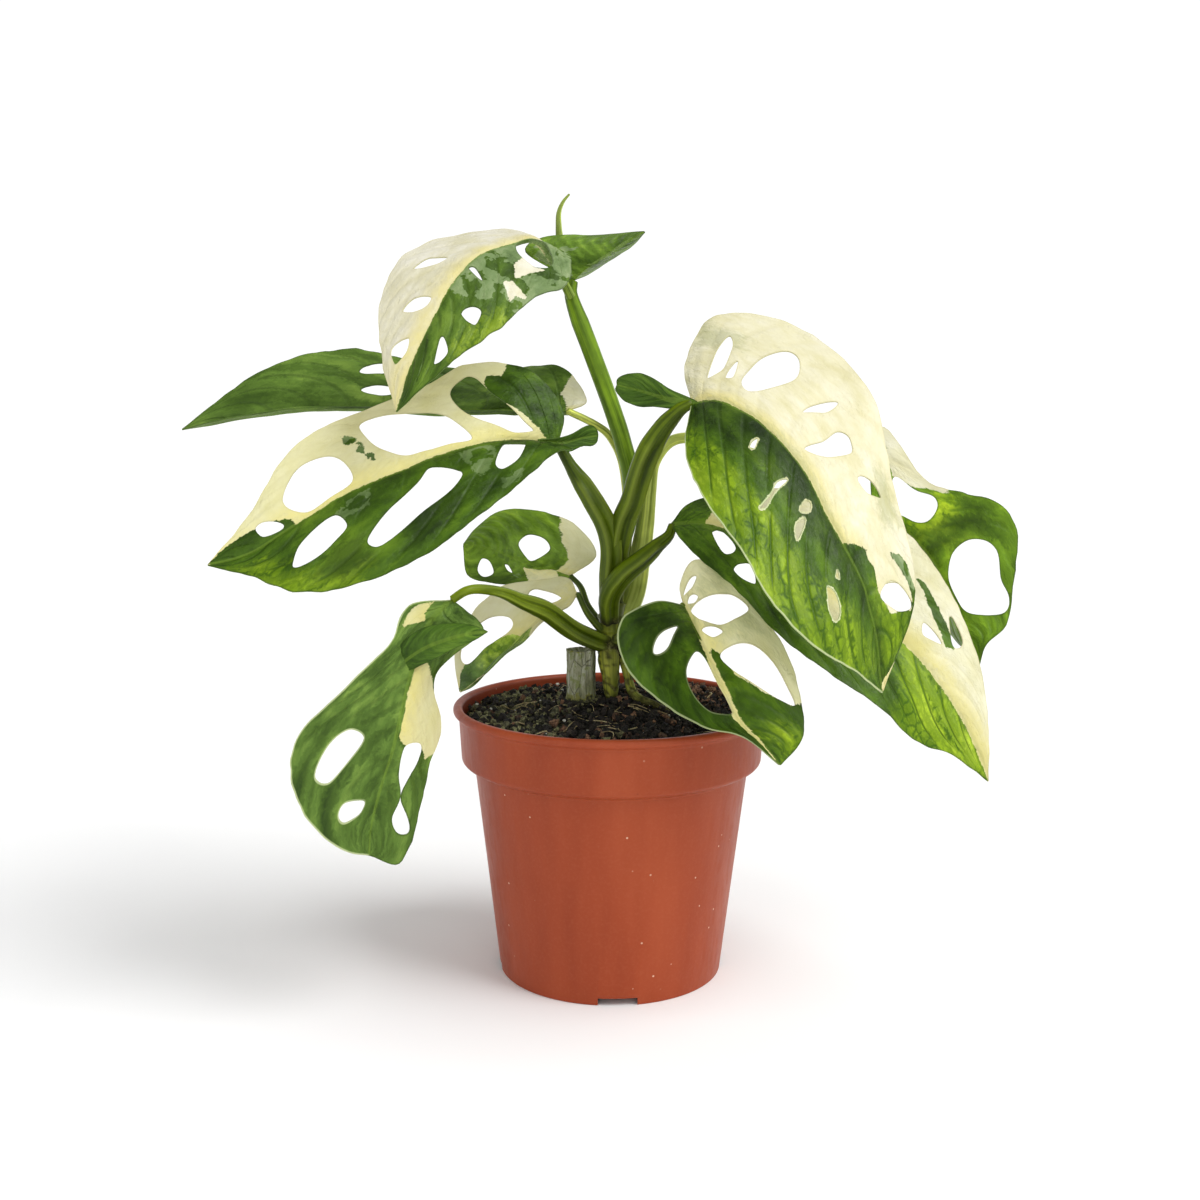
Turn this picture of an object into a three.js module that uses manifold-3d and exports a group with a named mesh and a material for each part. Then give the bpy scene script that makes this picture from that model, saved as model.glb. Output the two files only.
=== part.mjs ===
// A variegated Swiss cheese plant (monstera adansonii) in a round plastic nursery pot.
// Millimetres, +Z up. The origin is the centre of the pot's base, which stands on z = 0.
// Every leaf is a thin perforated blade on its own stalk; the stalks gather at one short stem.

import * as THREE from 'three';
import Module from 'manifold-3d';
import { mergeVertices } from 'three/addons/utils/BufferGeometryUtils.js';

const wasm = await Module();
wasm.setup();

// ------------------------------------------------------------------ driving dimensions

const GAP = 0.3; // between neighbouring pieces

const RIM_RADIUS = 60; // outside of the rolled bead
const POT_HEIGHT = 103;
const COLLAR_TOP_RADIUS = 57.9;
const COLLAR_FOOT_RADIUS = 56.9;
const COLLAR_HEIGHT = 21.5;
const BODY_TOP_RADIUS = 52;
const BASE_RADIUS = 42.5;
const WALL = 1.5;
const BEAD_HEIGHT = 2.6;
const BEAD_CHAMFER = 1;
const COLLAR_CHAMFER = 1;
const LEDGE_DROP = 1.6; // under the collar the wall slopes out over this height
const LEDGE_RISE = 2.4; // and inside it slopes out over this one
const FOOT_HEIGHT = 3; // the raised floor clears the ground by this much
const FOOT_WIDTH = 2;
const CENTRE_DISC_RADIUS = 20; // the flat middle of the floor, which touches the ground
const DISC_SLOPE = 1.5; // the floor climbs from the disc over this distance
const ROUND_SIDES = 40; // facets round the pot and the soil

const NOTCH_WIDTH = 14.5; // drain notches through the foot ring
const NOTCH_HEIGHT = 2.9;
const NOTCH_COUNT = 4;
const NOTCH_TURN = THREE.MathUtils.degToRad(3.5);
const DRAIN_RADIUS = 3;
const DRAIN_COUNT = 8;
const DRAIN_CIRCLE = 31;
const DRAIN_SIDES = 10;

const SOIL_EDGE = 98.5;
const SOIL_SHOULDER = 101.5;
const SOIL_CROWN = 105;
const SOIL_SHOULDER_RADIUS = 26;
const SOIL_CROWN_RADIUS = 12;

const STALK_SIDES = 8;
const STALK_STEP = 7; // length of one facet along a stalk

const BLADE_THICKNESS = 0.8;
const BLADE_FACETS = { rows: 11, columns: 3 }; // base to tip, and midrib to margin
const LOBE_FACETS = { rows: 8, columns: 2 };
const ROW_CROWDING = 1.35; // rows lie closer together at the base, where the margin turns fastest
const BLADE_START = 0.1; // the blade starts this far from its petiole's end
const BLADE_END = 0.6; // and stops this far short of its tip
const FACETS_PER_HOLE_POINT = 2;

// ------------------------------------------------------------------ the stalks

// Each path runs from the root end to the tip, and its radii are evenly spaced along it.

const STALKS = {
  stem: { path: [[0, 0, 123], [0, 0, 133], [0, 0, 143]], radii: [5.2, 5.2] },
  stalk_crown: {
    path: [[0, 3, 141], [2, 8, 157], [6, 10, 172], [7, 9, 187], [3.5, 8, 202], [-1.5, 8, 217],
      [-8.5, 8, 235.5], [-15.5, 8, 254], [-15.5, 9, 260.5]],
    radii: [3.2, 3.2, 3.2, 3.3, 3.3, 3.3, 3.3, 3.3, 2.1],
  },
  petiole_big_right: {
    path: [[0, 0, 141], [1, -4, 152.5], [2, -8, 163.5], [4, -11, 174], [7, -14, 181.5],
      [9.5, -18, 191], [12.5, -21, 199.5], [17, -25, 207.5], [20.5, -28, 212], [23.5, -30, 215],
      [27, -30, 217]],
    radii: [4, 4.2, 4.3, 4.3, 4.3, 4.4, 4.2, 3.3, 1.8],
  },
  petiole_left: {
    path: [[-1, -3, 141], [-1, -8, 152], [-0.5, -10, 163], [-2.5, -10, 172], [-7.5, -9, 181],
      [-11, -8, 186.5], [-15, -8, 192.5], [-20, -8, 201]],
    radii: [3.8, 4, 4.1, 4.1, 4.1, 4, 3.6, 2.3, 1.8],
  },
  petiole_long_right: {
    path: [[-1, -3, 135.5], [-1, -10, 146], [3.5, -14, 154], [10, -14, 159.5], [15.5, -12, 164],
      [20.5, -9.5, 168], [22, -8, 172]],
    radii: [3.4, 3.9, 3.9, 3.8, 3.3, 2.5, 1.5],
  },
  petiole_far_right: {
    path: [[0, 3, 127], [4, 7, 134], [8.5, 10, 144], [10.5, 13, 156], [12.5, 13, 169.5], [14, 13, 185],
      [16, 13.5, 194.5], [23, 14, 202], [35, 15, 202], [57, 17, 196], [81, 19, 186], [100, 20, 178]],
    radii: [3.4, 4.2, 4.2, 3.4, 2.7, 2.1, 1.9, 1.8, 1.6, 1.5, 1.3],
  },
  petiole_hanging: {
    path: [[-2, -2, 126], [-9, -7, 129.5], [-15.5, -14, 134], [-24.5, -22, 142], [-33, -28, 146.5],
      [-39, -33, 150], [-46, -38, 152], [-51, -42, 152], [-56, -43, 149]],
    radii: [3.6, 3.7, 3.7, 3.7, 3.5, 2.6, 1.9, 1.7, 1.5],
  },
  petiole_far_left: {
    path: [[2, 4, 136], [4, 13, 150], [6, 18, 171], [4, 18, 192], [-1, 14, 203], [-7, 10, 208],
      [-17, 4, 213]],
    radii: [2.4, 1.3],
  },
  petiole_front: {
    path: [[1, -3, 128], [10, -15, 130], [18, -25, 137], [25, -34, 146]],
    radii: [2.2, 1.3],
  },
  petiole_curled: {
    path: [[-2, 3, 130], [-9, 11, 138], [-12, 16, 145], [-16, 19, 149]],
    radii: [1.8, 1],
  },
  petiole_low_left: { path: [[-2, -1, 129], [-9, -5, 138], [-13, -6, 146]], radii: [1.6, 1] },
  petiole_crown: { path: [[-16, 6, 255], [-19, 2, 261], [-22, 2, 267]], radii: [1.8, 1.3] },
  spear: {
    path: [[-16, 9, 255], [-19, 17, 268], [-20.5, 22, 277], [-21, 26, 282], [-21, 27, 287],
      [-19.5, 27, 291], [-17, 27, 294]],
    radii: [1.5, 1.5, 1.5, 1.4, 1, 0.4],
  },
  root_left: {
    path: [[-1.5, -2, 125], [-1, -4, 119], [-0.5, -5, 113], [0, -5, 105.6]],
    radii: [3.4, 4, 3.8, 2.8, 1.6],
  },
  root_right: {
    path: [[3, 0, 125], [5.5, -4, 117], [7, -6, 110.5], [10, -8, 107], [16, -10, 105.2]],
    radii: [2, 2, 1.3],
  },
  root_back: { path: [[0, 3, 125], [0, 6, 115], [0, 8, 105.9]], radii: [3.2, 2.6] },
  cut_stub: { path: [[-11.6, -4, 105.4], [-11.6, -4, 115], [-11.6, -4, 124.5]], radii: [5.5, 5.3] },
};

// ------------------------------------------------------------------ the leaves

// A blade is spanned between its midrib and its two margins. All three start at the petiole and
// end at the tip, so the margins list only the points between.
//
// Places on a blade are [along, across]: along runs 0 to 1 from base to tip, and across runs from
// 0 on the midrib to 1 on the upper margin and -1 on the lower one. A hole is a smooth closed
// curve through its listed places. A lobe is a second blade, without holes, that joins the first
// where the leaf folds over.

const LEAVES = {
  leaf_crown: {
    midrib: [[-22, 2, 267], [-28, -2, 275], [-37, -8, 273], [-48, -19, 268], [-56, -30, 258],
      [-62, -41, 245], [-68, -53, 230], [-72, -62, 214]],
    upper: [[-28, 12, 275], [-41, 20, 280], [-59, 12, 277], [-76, -4, 269], [-82, -22, 252],
      [-79, -44, 233]],
    lower: [[-16, -4, 269], [-17, -14, 258], [-28, -26, 253], [-38, -38, 243], [-50, -50, 234],
      [-60, -60, 225]],
    holes: [
      [[0.595, 0.68], [0.545, 0.62], [0.51, 0.38], [0.545, 0.4], [0.585, 0.56]],
      [[0.725, 0.52], [0.68, 0.4], [0.655, 0.16], [0.695, 0.2], [0.72, 0.36]],
      [[0.845, 0.66], [0.81, 0.44], [0.795, 0.24], [0.835, 0.22], [0.875, 0.46]],
      [[0.495, -0.06], [0.48, -0.12], [0.5, -0.32], [0.505, -0.24]],
      [[0.64, -0.44], [0.605, -0.44], [0.585, -0.6], [0.615, -0.7], [0.64, -0.7]],
      [[0.75, -0.42], [0.735, -0.48], [0.76, -0.76], [0.8, -0.78], [0.815, -0.68]],
      [[0.275, -0.06], [0.205, -0.06], [0.16, -0.24], [0.225, -0.6], [0.27, -0.64], [0.32, -0.52],
        [0.315, -0.24]],
    ],
  },
  leaf_young: {
    midrib: [[-15, 9, 261], [-10, 6, 265], [-3, 1, 269], [3, -5, 273], [11, -12, 277]],
    upper: [[-33, 15, 271.5], [-25, 22, 278], [-6, 14, 278]],
    lower: [[-9, 18, 264], [-2, 14, 268], [5, 4, 272]],
    holes: [],
  },
  leaf_far_left: {
    midrib: [[-17, 4, 213], [-29, 9, 213], [-47, 14, 213], [-66, 19, 212], [-88, 24, 213],
      [-112, 29, 213], [-140, 34, 210], [-170, 36, 204]],
    upper: [[-10, 8, 217], [-20, 18, 229], [-44, 32, 228], [-74, 44, 230], [-107, 50, 236],
      [-138, 46, 228]],
    lower: [[-24, 2, 212], [-42, 2, 212], [-63, 3, 212], [-83, 6, 213], [-107, 11, 213],
      [-135, 22, 211]],
    holes: [
      [[0.61, 0.8], [0.62, 0.68], [0.65, 0.58], [0.67, 0.6], [0.66, 0.74], [0.63, 0.84]],
      [[0.57, 0.36], [0.585, 0.26], [0.625, 0.24], [0.65, 0.3], [0.635, 0.4], [0.595, 0.42]],
    ],
  },
  leaf_left: {
    midrib: [[-20, -8, 201], [-31, -12, 203], [-44, -18, 203], [-60, -24, 199], [-75, -31, 193],
      [-92, -38, 186], [-108, -45, 176], [-124, -51, 166], [-138, -54, 162]],
    upper: [[-19, -2, 214], [-31, 2, 228], [-53, 0, 230], [-70, -8, 221], [-91, -18, 213],
      [-112, -32, 201], [-125, -44, 179]],
    lower: [[-15, -14, 200], [-22, -24, 198], [-40, -38, 183], [-59, -50, 169], [-82, -58, 158],
      [-105, -62, 154], [-123, -58, 159]],
    holes: [
      [[0.62, 0.82], [0.58, 0.82], [0.525, 0.74], [0.45, 0.56], [0.38, 0.36], [0.31, 0.08],
        [0.365, 0.08], [0.43, 0.1], [0.495, 0.16], [0.565, 0.38], [0.605, 0.62]],
      [[0.405, 0.68], [0.385, 0.82], [0.355, 0.82], [0.295, 0.58], [0.195, 0.34], [0.14, 0.24],
        [0.19, 0.12], [0.28, 0.24], [0.355, 0.42]],
      [[0.785, 0.46], [0.765, 0.62], [0.735, 0.68], [0.68, 0.58], [0.64, 0.36], [0.62, 0.1],
        [0.675, 0.06], [0.73, 0.06], [0.77, 0.24]],
      [[0.86, 0.46], [0.84, 0.44], [0.79, 0.12], [0.8, 0.06], [0.84, 0.16]],
      [[0.32, -0.52], [0.255, -0.26], [0.215, -0.38], [0.285, -0.68], [0.325, -0.68]],
      [[0.61, -0.58], [0.555, -0.38], [0.48, -0.24], [0.43, -0.14], [0.385, -0.38], [0.42, -0.52],
        [0.495, -0.58], [0.575, -0.7], [0.605, -0.7]],
      [[0.765, -0.64], [0.75, -0.36], [0.705, -0.2], [0.665, -0.18], [0.645, -0.36], [0.675, -0.48],
        [0.735, -0.64]],
    ],
    lobe: {
      midrib: [[-28, -11, 203], [-19, -9, 202], [-12, -7, 203.5], [-5.5, -5, 204.5]],
      upper: [[-21, -10, 203.5], [-15.5, -8, 205], [-11, -6.5, 207.5], [-8, -6, 208],
        [-6, -5.5, 206.5]],
      lower: [[-20, -10, 199], [-15.5, -8.5, 198.5], [-11.5, -7, 200.5], [-8, -6, 200.5],
        [-6, -5.5, 202]],
    },
  },
  leaf_hanging: {
    midrib: [[-56, -43, 149], [-63, -46, 142], [-67, -49, 133], [-70, -52, 122], [-73, -54, 110],
      [-76, -56, 97], [-80, -58, 85], [-83, -59, 73], [-84, -60, 62]],
    upper: [[-71, -44, 147], [-77, -52, 135], [-91, -58, 121], [-107, -60, 105], [-110, -61, 89],
      [-104, -61, 74], [-93, -60, 64]],
    lower: [[-50.5, -45, 145], [-45, -48, 139], [-55.5, -48, 130], [-62.5, -46, 120.5],
      [-60.5, -42, 103], [-64, -46, 92.5], [-66, -50, 81], [-73, -56, 59]],
    holes: [
      [[0.635, 0.76], [0.565, 0.68], [0.525, 0.58], [0.515, 0.46], [0.55, 0.32], [0.605, 0.42],
        [0.66, 0.62]],
      [[0.77, 0.62], [0.74, 0.48], [0.765, 0.22], [0.8, 0.3], [0.8, 0.58]],
      [[0.605, -0.24], [0.6, -0.58], [0.66, -0.7], [0.745, -0.52], [0.79, -0.52], [0.835, -0.88],
        [0.85, -0.62], [0.83, -0.42], [0.78, -0.48], [0.705, -0.32]],
    ],
    lobe: {
      midrib: [[-75, -50, 126], [-66, -54, 133], [-57.5, -56, 137], [-48.5, -57, 139.5],
        [-42.5, -56, 140]],
      upper: [[-75.5, -50, 131.5], [-67, -52, 139.5], [-57.5, -54, 142.5], [-48, -55, 142]],
      lower: [[-70.5, -51, 125.5], [-62.5, -55, 129.5], [-55.5, -57, 133.5], [-48.5, -57, 136.5]],
    },
  },
  leaf_big_right: {
    midrib: [[27, -30, 217], [37, -38, 218], [51, -48, 210], [63, -58, 196], [72, -66, 178],
      [81, -72, 161], [86, -76, 141], [88, -78, 124]],
    upper: [[26, -10, 231], [38, 6, 248], [67, 0, 244], [90, -24, 221], [95, -46, 190],
      [100, -66, 156]],
    lower: [[24, -52, 201], [29, -72, 187], [40, -84, 172], [49, -92, 157], [63, -92, 142],
      [76, -86, 134]],
    holes: [
      [[0.16, 0.46], [0.215, 0.62], [0.26, 0.72], [0.295, 0.78], [0.285, 0.66], [0.225, 0.48]],
      [[0.22, 0.38], [0.245, 0.46], [0.285, 0.54], [0.245, 0.38]],
      [[0.265, 0.34], [0.315, 0.5], [0.365, 0.66], [0.41, 0.76], [0.43, 0.72], [0.415, 0.56],
        [0.35, 0.38], [0.275, 0.26]],
      [[0.43, 0.36], [0.47, 0.52], [0.515, 0.68], [0.49, 0.52]],
      [[0.43, 0.12], [0.49, 0.32], [0.525, 0.5], [0.555, 0.56], [0.565, 0.48], [0.505, 0.26]],
      [[0.605, 0.42], [0.61, 0.48], [0.65, 0.6], [0.69, 0.68], [0.645, 0.48]],
      [[0.79, 0.22], [0.79, 0.4], [0.81, 0.58], [0.845, 0.78], [0.875, 0.92], [0.855, 0.56],
        [0.82, 0.32]],
      [[0.295, -0.3], [0.29, -0.24], [0.295, -0.18], [0.305, -0.28]],
      [[0.405, -0.62], [0.405, -0.44], [0.4, -0.32], [0.415, -0.22], [0.41, -0.4], [0.415, -0.56]],
      [[0.485, -0.28], [0.48, -0.18], [0.495, -0.12], [0.505, -0.18]],
      [[0.525, -0.46], [0.5, -0.38], [0.51, -0.26], [0.525, -0.38]],
      [[0.655, -0.3], [0.65, -0.24], [0.665, -0.28]],
      [[0.665, -0.5], [0.655, -0.44], [0.68, -0.42], [0.715, -0.5], [0.72, -0.62], [0.69, -0.6]],
    ],
    lobe: {
      midrib: [[30, -32, 217], [20, -29.5, 218], [14.5, -27, 219.5], [7.5, -24, 221.5], [1, -20.5, 223]],
      upper: [[26, -31, 219], [19, -29, 222], [15.5, -28, 224.5], [11.5, -26, 226.5], [8, -24, 227.5],
        [3, -22, 226.5], [1, -21, 225]],
      lower: [[26, -31, 215], [19, -29, 215], [14, -27, 215.5], [9, -25, 215.5], [6, -23.5, 216.5],
        [3, -22, 218], [0.5, -21, 221]],
    },
  },
  leaf_long_right: {
    midrib: [[21, -8, 172], [34, -12, 173], [50, -18, 168], [67, -24, 158], [85, -30, 147],
      [103, -36, 133], [116, -41, 118], [125, -45, 103], [132, -48, 86]],
    upper: [[31, 0, 180], [55, 4, 184], [85, 0, 181], [107, -8, 170], [120, -20, 153],
      [129, -32, 131], [132, -42, 110]],
    lower: [[28, -22, 164], [44, -34, 151], [59, -44, 136], [76, -50, 124], [92, -52, 114],
      [106, -50, 101], [120, -49, 95]],
    holes: [
      [[0.155, -0.24], [0.175, -0.1], [0.22, -0.32], [0.205, -0.56], [0.18, -0.48]],
      [[0.23, -0.74], [0.24, -0.56], [0.265, -0.46], [0.285, -0.66], [0.255, -0.76]],
      [[0.635, 0.38], [0.655, 0.42], [0.69, 0.42], [0.665, 0.3], [0.645, 0.26]],
      [[0.675, 0.74], [0.68, 0.82], [0.72, 0.8], [0.725, 0.68], [0.71, 0.58]],
      [[0.6, 0.36], [0.585, 0.5], [0.55, 0.48], [0.53, 0.34], [0.545, 0.2], [0.58, 0.22]],
    ],
  },
  leaf_far_right: {
    midrib: [[100, 20, 178], [108, 21, 173], [115, 20, 166], [122, 17, 158], [128, 13, 148],
      [132, 8, 137], [136, 3, 127], [139, -1, 118]],
    upper: [[100, 24, 195], [105, 26, 207], [121, 24, 187], [136, 21, 182], [149, 17, 178],
      [155, 13, 167], [153, 8, 148], [150, 4, 133], [142, 1, 126]],
    lower: [[108, 30, 167], [114, 34, 159], [121, 40, 148], [128, 40, 137], [133, 32, 128],
      [137, 18, 122]],
    holes: [
      [[0.195, 0.42], [0.27, 0.66], [0.325, 0.82], [0.355, 0.66], [0.345, 0.38], [0.275, 0.2],
        [0.19, 0.1]],
      [[0.565, 0.06], [0.505, 0.22], [0.505, 0.44], [0.545, 0.6], [0.6, 0.7], [0.67, 0.76],
        [0.725, 0.94], [0.76, 0.88], [0.755, 0.48], [0.725, 0.16], [0.65, 0.06]],
    ],
  },
  leaf_front: {
    midrib: [[25, -34, 146], [28, -38, 141], [31, -42, 135], [35, -46, 127], [39, -50, 119],
      [44, -53, 109], [52, -55, 101], [58, -54, 93]],
    upper: [[15, -44, 149], [3, -52, 144], [3, -58, 131], [14, -62, 119], [30, -62, 109],
      [45, -59, 104]],
    lower: [[24, -28, 153], [31, -24, 161], [47, -28, 150], [61, -36, 131], [66, -44, 114],
      [66, -50, 102]],
    holes: [
      [[0.395, 0.64], [0.33, 0.56], [0.28, 0.44], [0.25, 0.32], [0.355, 0.44], [0.395, 0.56]],
      [[0.405, 0.24], [0.365, 0.12], [0.41, 0.06], [0.555, 0.06], [0.675, 0.06], [0.66, 0.46],
        [0.575, 0.48], [0.485, 0.38]],
      [[0.175, -0.28], [0.285, -0.48], [0.365, -0.72], [0.405, -0.84], [0.455, -0.88], [0.435, -0.64],
        [0.38, -0.38], [0.26, -0.22]],
      [[0.29, -0.12], [0.365, -0.32], [0.41, -0.38], [0.37, -0.2]],
      [[0.135, -0.68], [0.205, -0.78], [0.265, -0.78], [0.225, -0.64]],
      [[0.16, -0.44], [0.195, -0.54], [0.265, -0.52], [0.235, -0.42]],
      [[0.445, -0.14], [0.465, -0.36], [0.51, -0.6], [0.56, -0.72], [0.645, -0.82], [0.725, -0.88],
        [0.665, -0.56], [0.55, -0.24]],
    ],
  },
  leaf_curled: {
    midrib: [[-16, 19, 149], [-24, 18, 152], [-32, 16, 154], [-39, 14, 157], [-45, 12, 160],
      [-52, 11, 162], [-57, 10, 162]],
    upper: [[-6, 24, 157], [-16, 30, 169], [-32, 34, 173], [-44, 32, 173], [-53, 24, 167]],
    lower: [[-18, 14, 148], [-25, 12, 148], [-33, 10, 147], [-44, 10, 147], [-55, 10, 150]],
    holes: [
      [[0.48, 0.24], [0.465, 0.48], [0.385, 0.52], [0.31, 0.4], [0.31, 0.18], [0.355, 0.06]],
      [[0.78, -0.68], [0.765, -0.36], [0.71, -0.38], [0.685, -0.68], [0.74, -0.84]],
      [[0.595, -0.38], [0.565, -0.38], [0.555, -0.6], [0.585, -0.54]],
    ],
  },
  leaf_low_left: {
    midrib: [[-13, -6, 146], [-21, -7, 142], [-29, -9, 136], [-37, -9, 128], [-45, -7, 120],
      [-52, -3, 111], [-58, 3, 106]],
    upper: [[-17, 0, 151], [-29, 5, 149], [-43, 8, 146], [-54, 10, 135], [-60, 8, 120]],
    lower: [[-16, -10, 142], [-25, -15, 137], [-33, -17, 129], [-40, -14, 124], [-48, -8, 115]],
    holes: [
      [[0.37, 0.66], [0.32, 0.76], [0.14, 0.18], [0.235, 0.18], [0.325, 0.46]],
      [[0.65, 0.72], [0.57, 0.62], [0.48, 0.38], [0.49, 0.2], [0.645, 0.26], [0.785, 0.4], [0.82, 0.7],
        [0.765, 0.84]],
    ],
  },
};

// ------------------------------------------------------------------ materials

const material = (color, roughness) => new THREE.MeshStandardMaterial({ color, roughness, metalness: 0 });

const makeMaterial = {
  pot: () => material('#ad5636', 0.45),
  soil: () => material('#2b211b', 0.95),
  leaf: () => material('#4f8a2c', 0.4),
  pale_leaf: () => material('#e6e3b4', 0.45),
  stalk: () => material('#6f8a38', 0.5),
  old_stem: () => material('#7c8468', 0.8),
};

const MOSTLY_PALE = ['leaf_low_left'];
const OLD_WOOD = ['cut_stub', 'root_left', 'root_right', 'root_back'];

// ------------------------------------------------------------------ solids and meshes

// A closed geometry as a solid: shared vertices are merged and empty triangles are dropped.
function toSolid(geometry) {
  const bare = geometry.clone();
  bare.deleteAttribute('normal');
  bare.deleteAttribute('uv');
  const merged = mergeVertices(bare, 1e-4);
  const corners = merged.getIndex().array;
  const kept = [];
  for (let i = 0; i < corners.length; i += 3) {
    const [a, b, c] = corners.slice(i, i + 3);
    if (a !== b && b !== c && c !== a) kept.push(a, b, c);
  }
  const vertProperties = new Float32Array(merged.getAttribute('position').array);
  const solid = new wasm.Manifold(new wasm.Mesh({
    numProp: 3,
    vertProperties,
    triVerts: new Uint32Array(kept),
  }));
  if (solid.volume() > 0) return solid;
  for (let i = 0; i < kept.length; i += 3) [kept[i], kept[i + 1]] = [kept[i + 1], kept[i]];
  return new wasm.Manifold(new wasm.Mesh({ numProp: 3, vertProperties, triVerts: new Uint32Array(kept) }));
}

function toGeometry(solid) {
  const { vertProperties, triVerts } = solid.getMesh();
  const geometry = new THREE.BufferGeometry();
  geometry.setAttribute('position', new THREE.BufferAttribute(new Float32Array(vertProperties), 3));
  geometry.setIndex(new THREE.BufferAttribute(new Uint32Array(triVerts), 1));
  geometry.computeVertexNormals();
  return geometry;
}

// A cut can leave loose slivers; the piece itself is the largest body.
function largestBody(solid) {
  return solid.decompose().reduce((best, body) => (body.volume() > best.volume() ? body : best));
}

const curveThrough = (points) => new THREE.CatmullRomCurve3(
  points.map((point) => new THREE.Vector3(...point)), false, 'catmullrom', 0.5);

// ------------------------------------------------------------------ stalks

// A round stalk along its path, its radius running evenly from each listed one to the next. A
// swollen copy is larger all round, and is used to cut the clearance in a neighbour.
function stalkSolid({ path, radii }, swell = 0) {
  const points = path.map((point) => new THREE.Vector3(...point));
  const last = points.length - 1;
  if (swell > 0) {
    points[0].addScaledVector(points[0].clone().sub(points[1]).normalize(), swell);
    points[last].addScaledVector(points[last].clone().sub(points[last - 1]).normalize(), swell);
  }
  const route = new THREE.CatmullRomCurve3(points, false, 'catmullrom', 0.5);
  const steps = Math.max(2, Math.round(route.getLength() / STALK_STEP));
  const corners = Array.from({ length: STALK_SIDES }, (_, i) => {
    const angle = (2 * Math.PI * i) / STALK_SIDES;
    return new THREE.Vector2(Math.cos(angle), Math.sin(angle));
  });
  const geometry = new THREE.ExtrudeGeometry(new THREE.Shape(corners), { steps, extrudePath: route });
  const centres = route.getSpacedPoints(steps);
  const places = geometry.getAttribute('position');
  const corner = new THREE.Vector3();
  for (let i = 0; i < places.count; i += 1) {
    corner.fromBufferAttribute(places, i);
    const distances = centres.map((centre) => centre.distanceTo(corner));
    const ring = distances.indexOf(Math.min(...distances));
    const place = (ring / steps) * (radii.length - 1);
    const before = Math.min(Math.floor(place), radii.length - 2);
    const radius = THREE.MathUtils.lerp(radii[before], radii[before + 1], place - before) + swell;
    corner.sub(centres[ring]).multiplyScalar(radius).add(centres[ring]);
    places.setXYZ(i, corner.x, corner.y, corner.z);
  }
  return toSolid(geometry);
}

// ------------------------------------------------------------------ blades

// The place on a blade at [along, across], as a function of both.
function bladeSurface({ midrib, upper, lower }) {
  const ends = [midrib[0], midrib[midrib.length - 1]];
  const rib = curveThrough(midrib);
  const upperEdge = curveThrough([ends[0], ...upper, ends[1]]);
  const lowerEdge = curveThrough([ends[0], ...lower, ends[1]]);
  return (along, across) => {
    const edge = (across < 0 ? lowerEdge : upperEdge).getPoint(along);
    return rib.getPoint(along).lerp(edge, Math.abs(across));
  };
}

const NUDGE = { along: 0.006, across: 0.06 };

function bladeSlopes(surface, along, across) {
  const u = THREE.MathUtils.clamp(along, NUDGE.along, 1 - NUDGE.along);
  const perAlong = surface(u + NUDGE.along, across).sub(surface(u - NUDGE.along, across));
  const perAcross = surface(u, across + NUDGE.across).sub(surface(u, across - NUDGE.across));
  perAlong.divideScalar(2 * NUDGE.along);
  perAcross.divideScalar(2 * NUDGE.across);
  return { perAlong, perAcross, normal: perAlong.clone().cross(perAcross).normalize() };
}

// The blade is cut while it is laid out nearly flat: x = FLAT.x * along, y = FLAT.y * across.
// The flat sheet is slightly dished, so that no two facets fall in one plane and merge.
const FLAT = { x: 100, y: 40 };
const DISH = 0.002;
const PUNCH_REACH = 2; // the punches start and end this far outside the sheet
const dishHeight = (x, y) => DISH * (x * x + y * y);

function flatSheet(start, end, facets) {
  const { rows } = facets;
  const columns = 2 * facets.columns;
  const vertProperties = [];
  for (const side of [1, -1]) {
    for (let row = 0; row <= rows; row += 1) {
      const x = FLAT.x * THREE.MathUtils.lerp(start, end, (row / rows) ** ROW_CROWDING);
      for (let column = 0; column <= columns; column += 1) {
        const y = FLAT.y * ((2 * column) / columns - 1);
        vertProperties.push(x, y, dishHeight(x, y) + side);
      }
    }
  }
  const at = (face, row, column) => (face * (rows + 1) + row) * (columns + 1) + column;
  const triVerts = [];
  const quad = (a, b, c, d) => triVerts.push(a, b, c, a, c, d);
  for (let row = 0; row < rows; row += 1) {
    for (let column = 0; column < columns; column += 1) {
      const [r, c] = [row, column];
      quad(at(0, r, c), at(0, r + 1, c), at(0, r + 1, c + 1), at(0, r, c + 1));
      quad(at(1, r, c), at(1, r, c + 1), at(1, r + 1, c + 1), at(1, r + 1, c));
    }
    quad(at(1, row, 0), at(1, row + 1, 0), at(0, row + 1, 0), at(0, row, 0));
    quad(at(0, row, columns), at(0, row + 1, columns), at(1, row + 1, columns), at(1, row, columns));
  }
  for (let column = 0; column < columns; column += 1) {
    const next = column + 1;
    quad(at(0, 0, column), at(0, 0, next), at(1, 0, next), at(1, 0, column));
    quad(at(1, rows, column), at(1, rows, next), at(0, rows, next), at(0, rows, column));
  }
  return new wasm.Manifold(new wasm.Mesh({
    numProp: 3,
    vertProperties: new Float32Array(vertProperties),
    triVerts: new Uint32Array(triVerts),
  }));
}

// A punch through the flat sheet, shaped by the hole's smooth outline.
function flatPunch(places) {
  const corners = places.map(([along, across]) => new THREE.Vector3(FLAT.x * along, FLAT.y * across, 0));
  const rim = new THREE.CatmullRomCurve3(corners, true, 'catmullrom', 0.5);
  const shape = new THREE.Shape(rim.getPoints(FACETS_PER_HOLE_POINT * corners.length).slice(1));
  const depth = dishHeight(FLAT.x, FLAT.y) + 2 * PUNCH_REACH;
  const punch = new THREE.ExtrudeGeometry(shape, { depth, bevelEnabled: false });
  return toSolid(punch.translate(0, 0, -PUNCH_REACH));
}

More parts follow.
